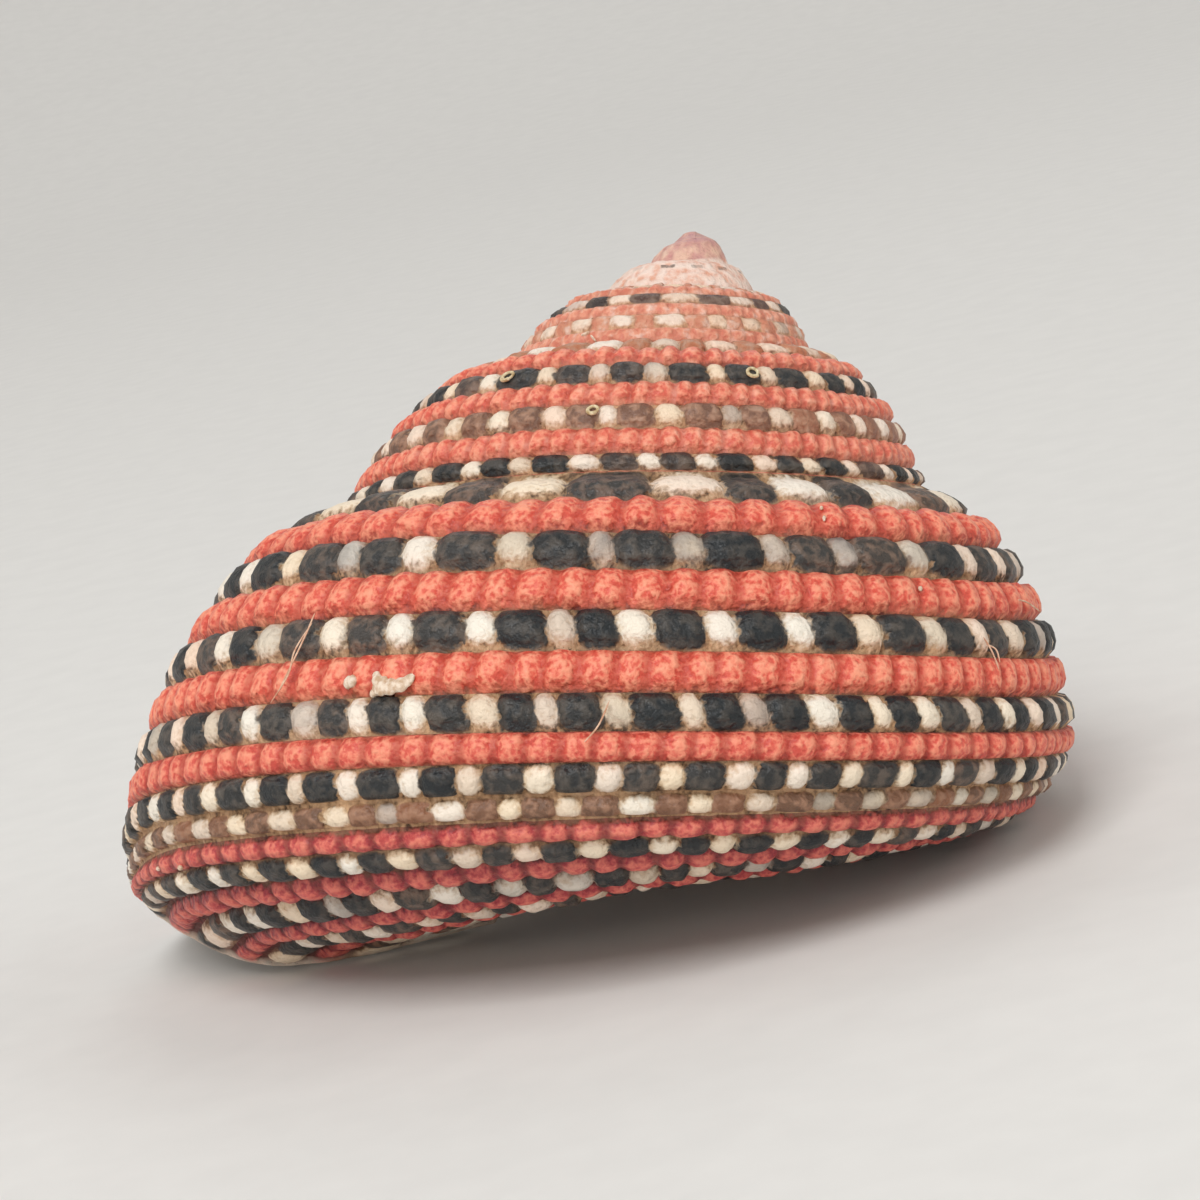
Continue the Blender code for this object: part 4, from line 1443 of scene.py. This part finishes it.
def worn_colour(tree, colours, at, colour):
    """A colour with the older turns bleached and sanded over it: pink tan, then cream pink with a few
    specks, then mauve on the tip."""
    worn_share = add_node(tree, RANGE, {0: at.turn, 1: -0.60, 2: -1.9, 3: 0.0, 4: 0.74})
    kept = add_node(tree, MIX, {0: at.white, 2: at.tone, 3: 0.5})
    kept = add_node(tree, MIX, {0: at.red, 2: kept, 3: 0.0})
    kept = add_node(tree, RANGE, {0: kept, 1: 0.0, 2: 0.8, 3: 1.0, 4: 0.0})
    worn_share = add_node(tree, MATH, {0: worn_share, 1: kept}, operation="MULTIPLY")
    worn = add_node(
        tree, RAMP, {0: at.fleck}, ((0.40, colours.worn), (0.55, colours.worn_top), (0.72, colours.bleached))
    )
    colour = add_node(tree, MIX, {0: worn_share, FIRST: colour, SECOND: worn}, data_type="RGBA")
    bleached = add_node(
        tree,
        RAMP,
        {0: at.fleck},
        ((0.30, colours.worn_top), (0.48, colours.bleached), (0.7, colours.bleached_top)),
    )
    speck = add_node(tree, RANGE, {0: at.level, 1: 0.55, 2: 0.95, 3: 0.0, 4: 0.95})
    dark_bead = add_node(tree, MIX, {0: at.white, 2: at.tone, 3: 0.0})
    dark_bead = add_node(tree, RANGE, {0: dark_bead, 1: 0.5, 2: 0.75, 3: 0.0, 4: 1.0})
    speck = add_node(tree, MATH, {0: speck, 1: dark_bead}, operation="MULTIPLY")
    off_red = add_node(tree, MATH, {0: 1.0, 1: at.red}, operation="SUBTRACT")
    speck = add_node(tree, MATH, {0: speck, 1: off_red}, operation="MULTIPLY")
    bleached = add_node(
        tree, MIX, {0: speck, FIRST: bleached, SECOND: (*colours.olive, 1.0)}, data_type="RGBA"
    )
    bleached_share = add_node(tree, RANGE, {0: at.turn, 1: -2.40, 2: -2.72, 3: 0.0, 4: 0.92})
    colour = add_node(
        tree, MIX, {0: bleached_share, FIRST: colour, SECOND: bleached}, data_type="RGBA"
    )
    tip_share = add_node(tree, RANGE, {0: at.turn, 1: -3.30, 2: -3.95, 3: 0.0, 4: 0.90})
    mottle = add_node(tree, MIX, {0: 0.5, 2: at.patch, 3: at.fleck})
    mauve = add_node(
        tree, RAMP, {0: mottle}, ((0.38, colours.tip_shade), (0.5, colours.tip), (0.60, colours.tip_top))
    )
    colour = add_node(tree, MIX, {0: tip_share, FIRST: colour, SECOND: mauve}, data_type="RGBA")
    return colour


def bare_edge_colour(tree, colours, at, colour):
    """A colour with the edge of the lip and the rim of the navel left bare and cream."""
    at_lip = add_node(tree, RANGE, {0: at.lip_mm, 1: 0.50, 2: 0.15, 3: 0.0, 4: 0.9})
    at_navel = add_node(tree, RANGE, {0: at.cord, 1: 19.55, 2: 20.1, 3: 0.0, 4: 0.85})
    bare = add_node(tree, MATH, {0: at_lip, 1: at_navel}, operation="MAXIMUM")
    lip_colour = add_node(
        tree, RAMP, {0: at.patch}, ((0.3, colours.lip_shade), (0.6, colours.lip))
    )
    colour = add_node(tree, MIX, {0: bare, FIRST: colour, SECOND: lip_colour}, data_type="RGBA")
    return colour


def carved_shell_material(colours):
    """Lime shell with its natural pigment, worn by sand and weathered dry: a low satin gloss on the beads,
    dull dirt in the grooves, painted shade in the grooves, the seams and on the base, painted highlights on
    the bead tops, and a grain that breaks up each colour."""
    material, tree, shader = new_material("pigmented_lime_shell_satin")
    at = shell_signals(tree)
    red_colour = red_cord_colour(tree, colours, at)
    cream = cream_bead_colour(tree, colours, at)
    dark = dark_bead_colour(tree, colours, at)
    pair_colour = add_node(tree, MIX, {0: at.white, FIRST: dark, SECOND: cream}, data_type="RGBA")
    colour = add_node(tree, MIX, {0: at.red, FIRST: pair_colour, SECOND: red_colour}, data_type="RGBA")
    # Dirt in the grooves, and painted shade in the grooves of the base
    dirt, dirt_and_shade_colour = groove_dirt_and_shade(tree, colours, at)
    colour = add_node(tree, MIX, {0: dirt, FIRST: colour, SECOND: dirt_and_shade_colour}, data_type="RGBA")
    colour = worn_colour(tree, colours, at, colour)
    colour = bare_edge_colour(tree, colours, at, colour)

    roughness = add_node(tree, RANGE, {0: at.grain, 1: 0.3, 2: 0.7, 3: 0.36, 4: 0.56})
    roughness = add_node(tree, MIX, {0: dirt, 2: roughness, 3: 0.85})
    fine = add_node(tree, BUMP, {"Height": at.grain, "Distance": 0.03 * MM, "Strength": 0.8})
    coarse = add_node(
        tree, BUMP, {"Height": at.fleck, "Distance": 0.11 * MM, "Strength": 0.8, "Normal": fine}
    )
    unworn = add_node(tree, RANGE, {0: at.turn, 1: -2.40, 2: -3.00, 3: 0.5, 4: 0.0})
    shape = add_node(
        tree, BUMP, {"Height": at.top, "Distance": 0.08 * MM, "Strength": unworn, "Normal": coarse}
    )
    tree.links.new(colour.outputs[2], shader.inputs["Base Color"])
    tree.links.new(roughness.outputs[0], shader.inputs["Roughness"])
    tree.links.new(shape.outputs[0], shader.inputs["Normal"])
    shader.inputs["IOR"].default_value = 1.53
    shader.inputs["Specular IOR Level"].default_value = 0.42
    return material


def pearl_material(colours):
    """Mother of pearl that the animal laid down inside: smooth, with a clear shine over a milky colour that
    drifts between pink, green and cream; the pink and green are painted iridescent sheen, fixed in the
    colour."""
    material, tree, shader = new_material("mother_of_pearl_inner_layer")
    place = add_node(tree, "ShaderNodeTexCoord").outputs["Object"]
    lip_mm = add_node(tree, "ShaderNodeAttribute", attribute_name="lip_mm").outputs["Fac"]
    drift = add_node(
        tree, NOISE, {"Vector": place, "Scale": per_metre(STAIN_MM), "Detail": 2.0, "Distortion": 1.2}
    )
    grain = add_node(tree, NOISE, {"Vector": place, "Scale": per_metre(FLECK_MM), "Detail": 3.0})
    # Pink and green drifting over the cream: painted iridescent sheen
    pearl = add_node(
        tree,
        RAMP,
        {0: drift},
        ((0.32, colours.pearl_green), (0.5, colours.pearl), (0.66, colours.pearl_pink)),
    )
    edge = add_node(tree, RANGE, {0: lip_mm, 1: 0.9, 2: 0.2, 3: 0.0, 4: 0.9})
    colour = add_node(
        tree, MIX, {0: edge, FIRST: pearl, SECOND: (*colours.lip, 1.0)}, data_type="RGBA"
    )
    roughness = add_node(tree, RANGE, {0: grain, 1: 0.3, 2: 0.7, 3: 0.18, 4: 0.34})
    bump = add_node(tree, BUMP, {"Height": grain, "Distance": 0.012 * MM, "Strength": 0.5})
    tree.links.new(colour.outputs[2], shader.inputs["Base Color"])
    tree.links.new(roughness.outputs[0], shader.inputs["Roughness"])
    tree.links.new(bump.outputs[0], shader.inputs["Normal"])
    shader.inputs["IOR"].default_value = 1.58
    shader.inputs["Coat Weight"].default_value = 0.35
    shader.inputs["Coat Roughness"].default_value = 0.15
    return material


def dried_material(name, first, second, size_mm, roughness):
    """A dry, dull stuff of two mixed colours: chalky lime, sand or plant fibre, by its colours and
    the size of its grain."""
    material, tree, shader = new_material(name)
    place = add_node(tree, "ShaderNodeTexCoord").outputs["Object"]
    grain = add_node(tree, NOISE, {"Vector": place, "Scale": per_metre(size_mm), "Detail": 3.0})
    colour = add_node(tree, RAMP, {0: grain}, ((0.35, first), (0.62, second)))
    bump = add_node(tree, BUMP, {"Height": grain, "Distance": 0.02 * MM, "Strength": 0.8})
    tree.links.new(colour.outputs[0], shader.inputs["Base Color"])
    tree.links.new(bump.outputs[0], shader.inputs["Normal"])
    shader.inputs["Roughness"].default_value = roughness
    return material


# ---------------------------------------------------------------- what a user can change


def colour_property(name, description, text):
    """A colour setting whose default is a hex colour."""
    return bpy.props.FloatVectorProperty(
        name=name,
        description=description,
        subtype="COLOR",
        size=3,
        min=0.0,
        max=1.0,
        default=linear_from_hex(text),
    )


class ShellColours(bpy.types.PropertyGroup):
    """The colours of the shell."""

    # Tops of the red beads: painted highlight
    coral_top_highlight: colour_property("Coral top", "Tops of the coral red beads", "#F27C62")
    # Pale flecks on the tops of the red beads: painted highlights
    coral_fleck_highlight: colour_property("Coral flecks", "Pale flecks on the red cords", "#FFAE8C")
    coral: colour_property("Coral", "Coral red beads", "#DE5643")
    # Seams and low flanks of the red beads: painted shade
    coral_seam_shade: colour_property("Coral seam", "Seams between the coral red beads", "#BE4432")
    # Grooves of the red cords: painted shade
    coral_groove_shade: colour_property("Coral groove", "Deepest part of the coral red cords", "#7E2822")
    # Tops of the crimson beads: painted highlight
    crimson_top_highlight: colour_property("Crimson top", "Tops of the crimson beads on the base", "#D8645B")
    # Crimson of the base: partly its own colour, partly painted shade of the underside
    crimson: colour_property("Crimson", "Crimson cords on the base", "#A22F39")
    # Grooves and seams of the crimson cords and of the base: painted shade
    crimson_groove_shade: colour_property("Crimson groove", "Grooves of the crimson cords", "#4E1219")
    cream: colour_property("Cream", "Tops of the pale beads", "#F7EFE1")
    # Flanks and edges of the pale beads: painted shade
    cream_shade: colour_property("Cream shade", "Flanks of the pale beads", "#DCC8AE")
    cream_edge_shade: colour_property("Cream edge", "Edges of the pale beads", "#96785A")
    stained: colour_property("Stained", "Pale beads stained grey", "#857D78")
    black: colour_property("Black", "Black beads", "#1B2023")
    charcoal: colour_property("Charcoal", "Faded black beads", "#3B3835")
    olive: colour_property("Olive brown", "Brown beads of the older turns", "#5F4B3C")
    tawny: colour_property("Tawny", "Tawny beads of the oldest turns", "#B4714A")
    olive_fleck: colour_property("Brown fleck", "Flecks on the brown beads", "#AC8268")
    fleck: colour_property("Fleck", "Flecks on the dark beads", "#7C7064")
    dirt_dark: colour_property("Dark dirt", "Dark dirt in the grooves", "#4A3A2C")
    dirt: colour_property("Dirt", "Dirt in the grooves", "#A8835F")
    dirt_light: colour_property("Pale dirt", "Pale dry dirt in the grooves", "#D4AC84")
    worn: colour_property("Worn", "Sanded older turns", "#D88A70")
    worn_top: colour_property("Worn top", "Paler part of the sanded turns", "#E7A78A")
    bleached: colour_property("Bleached", "Bleached first turns", "#F4D6C6")
    bleached_top: colour_property("Bleached top", "Palest part of the first turns", "#FAE6D9")
    tip_top: colour_property("Tip top", "Palest part of the tip", "#E3B79F")
    tip: colour_property("Tip", "Dome of the tip", "#D19A8D")
    tip_shade: colour_property("Tip shade", "Mauve part of the tip", "#BA7F84")
    lip: colour_property("Lip", "Bare edge of the lip", "#F0DECB")
    lip_shade: colour_property("Lip shade", "Stained part of the lip's edge", "#CFAF94")
    pearl: colour_property("Pearl", "Mother of pearl", "#EFE6DC")
    # Pink and green shine of the mother of pearl: painted sheen
    pearl_pink: colour_property("Pink pearl", "Pink shine in the mother of pearl", "#F2D3D2")
    pearl_green: colour_property("Green pearl", "Green shine in the mother of pearl", "#D5E3D8")
    crust: colour_property("Crust", "Dried crusts of sand and lime", "#C9A98A")
    crust_top: colour_property("Pale crust", "Palest part of the crusts", "#F1DFCB")
    fibre: colour_property("Fibre", "Dried fibres", "#C98F6E")
    fibre_top: colour_property("Pale fibre", "Palest part of the fibres", "#F0CDB0")
    worm_tube: colour_property("Worm tube", "Limy worm tubes", "#B79A6C")
    worm_tube_top: colour_property("Pale worm tube", "Palest part of the worm tubes", "#E8D9B4")


class ShellSizes(bpy.types.PropertyGroup):
    """The sizes of the carving and of what has dried on to the shell."""

    groove_depth: bpy.props.FloatProperty(
        name="Groove depth",
        description="Depth of the grooves between beads and cords, against a natural 1",
        default=1.0,
        min=0.0,
        max=1.3,
    )
    fibre_radius: bpy.props.FloatProperty(
        name="Fibre radius",
        description="Radius of the dried fibres",
        default=FIBRE_RADIUS_MM * MM,
        min=0.005 * MM,
        max=0.05 * MM,
        precision=6,
        subtype="DISTANCE",
        unit="LENGTH",
    )


class StudioSettings(bpy.types.PropertyGroup):
    """The plain studio."""

    floor: colour_property("Floor", "Plain pale floor", "#E9E7E3")
    key_power: bpy.props.FloatProperty(
        name="Key light",
        description="Power of the large light above and in front",
        default=KEY_POWER_W,
        min=0.0,
        subtype="POWER",
        unit="POWER",
    )
    fill_power: bpy.props.FloatProperty(
        name="Fill lights",
        description="Power of each of the lights at the sides, the back and the front",
        default=FILL_POWER_W,
        min=0.0,
        subtype="POWER",
        unit="POWER",
    )
    sky: bpy.props.FloatProperty(
        name="Sky",
        description="Strength of the even light from all round",
        default=SKY_STRENGTH,
        min=0.0,
    )


# ---------------------------------------------------------------- operators


def settle(piece):
    """Declares that a piece rides on the shell's body and stands for its node."""
    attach(piece, BODY)
    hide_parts(NODE)


class SHELL_OT_skin(bpy.types.Operator):
    """Add the carved skin, with the lip and the pearly hollow"""

    bl_idname = "shell.skin"
    bl_label = "Carved Skin"

    def execute(self, context):
        scene = context.scene
        surface = ShellSurface(Placing(), scene.shell_sizes.groove_depth)
        outer = carved_shell_material(scene.shell_colours)
        inner = pearl_material(scene.shell_colours)
        settle(surface.piece(OLDER_TURNS, [outer]))
        settle(surface.piece(LAST_TURN, [outer, inner]))
        return {"FINISHED"}


class SHELL_OT_crusts(bpy.types.Operator):
    """Add the crumbs of sand and lime dried on to the beads"""

    bl_idname = "shell.crusts"
    bl_label = "Crusts"

    def execute(self, context):
        paths = [crust_path(crust, seed) for seed, crust in enumerate(CRUSTS)]
        colours = context.scene.shell_colours
        lime = dried_material("dry_sand_and_lime_crust", colours.crust, colours.crust_top, GRAIN_MM, 0.9)
        settle(small_things("dried_crusts", paths, Placing(), lime))
        return {"FINISHED"}


class SHELL_OT_fibres(bpy.types.Operator):
    """Add the dried fibres caught on the cords"""

    bl_idname = "shell.fibres"
    bl_label = "Fibres"

    def execute(self, context):
        radius = context.scene.shell_sizes.fibre_radius / MM
        paths = [fibre_path(fibre, radius) for fibre in FIBRES]
        colours = context.scene.shell_colours
        fibre = dried_material("dry_plant_fibre", colours.fibre, colours.fibre_top, FIBRE_GRAIN_MM, 0.6)
        settle(small_things("dried_fibres", paths, Placing(), fibre))
        return {"FINISHED"}


class SHELL_OT_worm_tubes(bpy.types.Operator):
    """Add the tiny limy worm tubes"""

    bl_idname = "shell.worm_tubes"
    bl_label = "Worm Tubes"

    def execute(self, context):
        paths = [worm_tube_path(worm_tube) for worm_tube in WORM_TUBES]
        colours = context.scene.shell_colours
        lime = dried_material(
            "worm_tube_lime", colours.worm_tube, colours.worm_tube_top, WORM_TUBE_GRAIN_MM, 0.8
        )
        settle(small_things("worm_tubes", paths, Placing(), lime))
        return {"FINISHED"}


def floor_profile():
    """The studio floor's outline, as distances from the middle and heights: flat, then a quarter
    circle up, then straight up."""
    flat = np.linspace(0.0, FLOOR_RADIUS, 24)[1:]
    angle = np.linspace(0.0, math.pi / 2, 24)[1:]
    rise = np.linspace(0.0, FLOOR_WALL, 6)[1:]
    corner = FLOOR_RADIUS + FLOOR_BEND
    radius = np.concatenate((flat, FLOOR_RADIUS + FLOOR_BEND * np.sin(angle), np.full(len(rise), corner)))
    height = np.concatenate((np.zeros(len(flat)), FLOOR_BEND * (1 - np.cos(angle)), FLOOR_BEND + rise))
    return radius, height


def studio_floor(colour):
    """The floor: its outline turned once round the upright axis, with a fan of faces at the middle."""
    radius, height = floor_profile()
    angle = np.arange(FLOOR_SIDES) * 2 * math.pi / FLOOR_SIDES
    x = radius[:, None] * np.cos(angle)
    y = radius[:, None] * np.sin(angle)
    z = np.broadcast_to(height[:, None], x.shape)
    points = np.concatenate((np.stack((x, y, z), axis=-1).reshape(-1, 3), [(0.0, 0.0, 0.0)]))
    index = np.arange(x.size).reshape(x.shape)
    after = np.roll(index, -1, axis=1)
    walls = np.stack((index[:-1], index[1:], after[1:], after[:-1]), axis=-1).reshape(-1, 4)
    fan = np.stack((index[0], after[0], np.full(FLOOR_SIDES, x.size)), axis=-1)
    material, tree, shader = new_material("matt_studio_paper")
    grain = add_node(tree, NOISE, {"Scale": per_metre(FLOOR_GRAIN_MM), "Detail": 2.0})
    place = add_node(tree, "ShaderNodeTexCoord").outputs["Object"]
    tree.links.new(place, grain.inputs["Vector"])
    paper = add_node(
        tree, RAMP, {0: grain}, ((0.3, [0.97 * c for c in colour]), (0.7, list(colour)))
    )
    tree.links.new(paper.outputs[0], shader.inputs["Base Color"])
    shader.inputs["Roughness"].default_value = 0.9
    return new_mesh("studio_floor", points, [walls, fan], [material])


def aim(thing, target):
    """Turns a camera or a light to look from its own place at a target."""
    thing.rotation_euler = (Vector(target) - thing.location).to_track_quat("-Z", "Y").to_euler()


def area_light(name, place, size, power):
    """A square soft light at a place, aimed at the shell."""
    data = bpy.data.lights.new(name, "AREA")
    data.size = size
    data.energy = power
    light = bpy.data.objects.new(name, data)
    light.location = place
    bpy.context.scene.collection.objects.link(light)
    aim(light, LIGHTS_AIM)
    return light


def shell_camera(placing):
    """The camera, set in the coil's own frame: it looks at the front of the coil, a little down and
    a little rolled, and its place is given by distances across, up and back from the coil's start."""
    roll = math.radians(CAMERA_ROLL_DEG)
    pitch = math.radians(CAMERA_PITCH_DEG)
    ahead = np.array((0.0, math.cos(pitch), math.sin(pitch)))
    level = np.array((0.0, -math.sin(pitch), math.cos(pitch)))
    across = np.array((1.0, 0.0, 0.0))
    right = across * math.cos(roll) + level * math.sin(roll)
    up = level * math.cos(roll) - across * math.sin(roll)
    start = right * CAMERA_ACROSS_MM + up * CAMERA_UP_MM - ahead * CAMERA_BACK_MM
    axes = [Vector(placing.turned(axis / MM)) for axis in (right, up, -ahead)]
    data = bpy.data.cameras.new("camera")
    data.sensor_width = SENSOR_MM
    data.lens = LENS_MM
    data.clip_start = 0.005
    data.clip_end = 5.0
    camera = bpy.data.objects.new("camera", data)
    turning = Matrix([[axis[k] for axis in axes] for k in range(3)]).to_4x4()
    camera.matrix_world = Matrix.Translation(placing.placed(start)) @ turning
    return camera


class SHELL_OT_studio(bpy.types.Operator):
    """Add the floor, the lights and the camera"""

    bl_idname = "shell.studio"
    bl_label = "Studio"

    def execute(self, context):
        scene = context.scene
        settings = scene.shell_studio
        studio_floor(settings.floor)
        area_light("key_light", KEY_PLACE, KEY_SIZE, settings.key_power)
        for name, place in FILL_PLACES:
            area_light(name, place, FILL_SIZE, settings.fill_power)
        world = bpy.data.worlds.new("studio_sky")
        world.use_nodes = True
        background = world.node_tree.nodes["Background"]
        background.inputs["Color"].default_value = (1.0, 1.0, 1.0, 1.0)
        background.inputs["Strength"].default_value = settings.sky
        scene.world = world
        scene.view_settings.view_transform = "Standard"
        camera = shell_camera(Placing())
        scene.collection.objects.link(camera)
        scene.camera = camera
        return {"FINISHED"}


class SHELL_PT_panel(bpy.types.Panel):
    """The shell's settings, and a button for each group of pieces"""

    bl_idname = "SHELL_PT_panel"
    bl_label = "Top Shell"
    bl_space_type = "VIEW_3D"
    bl_region_type = "UI"
    bl_category = "Top Shell"

    def draw(self, context):
        for operator in OPERATORS:
            self.layout.operator(operator.bl_idname)
        for name in ("shell_sizes", "shell_studio", "shell_colours"):
            settings = getattr(context.scene, name)
            box = self.layout.box()
            for field in settings.__annotations__:
                box.prop(settings, field)


OPERATORS = (SHELL_OT_skin, SHELL_OT_crusts, SHELL_OT_fibres, SHELL_OT_worm_tubes, SHELL_OT_studio)
SETTINGS = (ShellColours, ShellSizes, StudioSettings)


def register():
    """Registers the settings, the operators and the panel."""
    for part in SETTINGS + OPERATORS + (SHELL_PT_panel,):
        bpy.utils.register_class(part)
    bpy.types.Scene.shell_colours = bpy.props.PointerProperty(type=ShellColours)
    bpy.types.Scene.shell_sizes = bpy.props.PointerProperty(type=ShellSizes)
    bpy.types.Scene.shell_studio = bpy.props.PointerProperty(type=StudioSettings)


def unregister():
    """Takes back what register added, in the opposite order."""
    del bpy.types.Scene.shell_studio
    del bpy.types.Scene.shell_sizes
    del bpy.types.Scene.shell_colours
    for part in reversed(SETTINGS + OPERATORS + (SHELL_PT_panel,)):
        bpy.utils.unregister_class(part)


def main():
    register()
    bpy.ops.shell.skin()
    bpy.ops.shell.crusts()
    bpy.ops.shell.fibres()
    bpy.ops.shell.worm_tubes()
    bpy.ops.shell.studio()


if __name__ == "__main__":
    main()
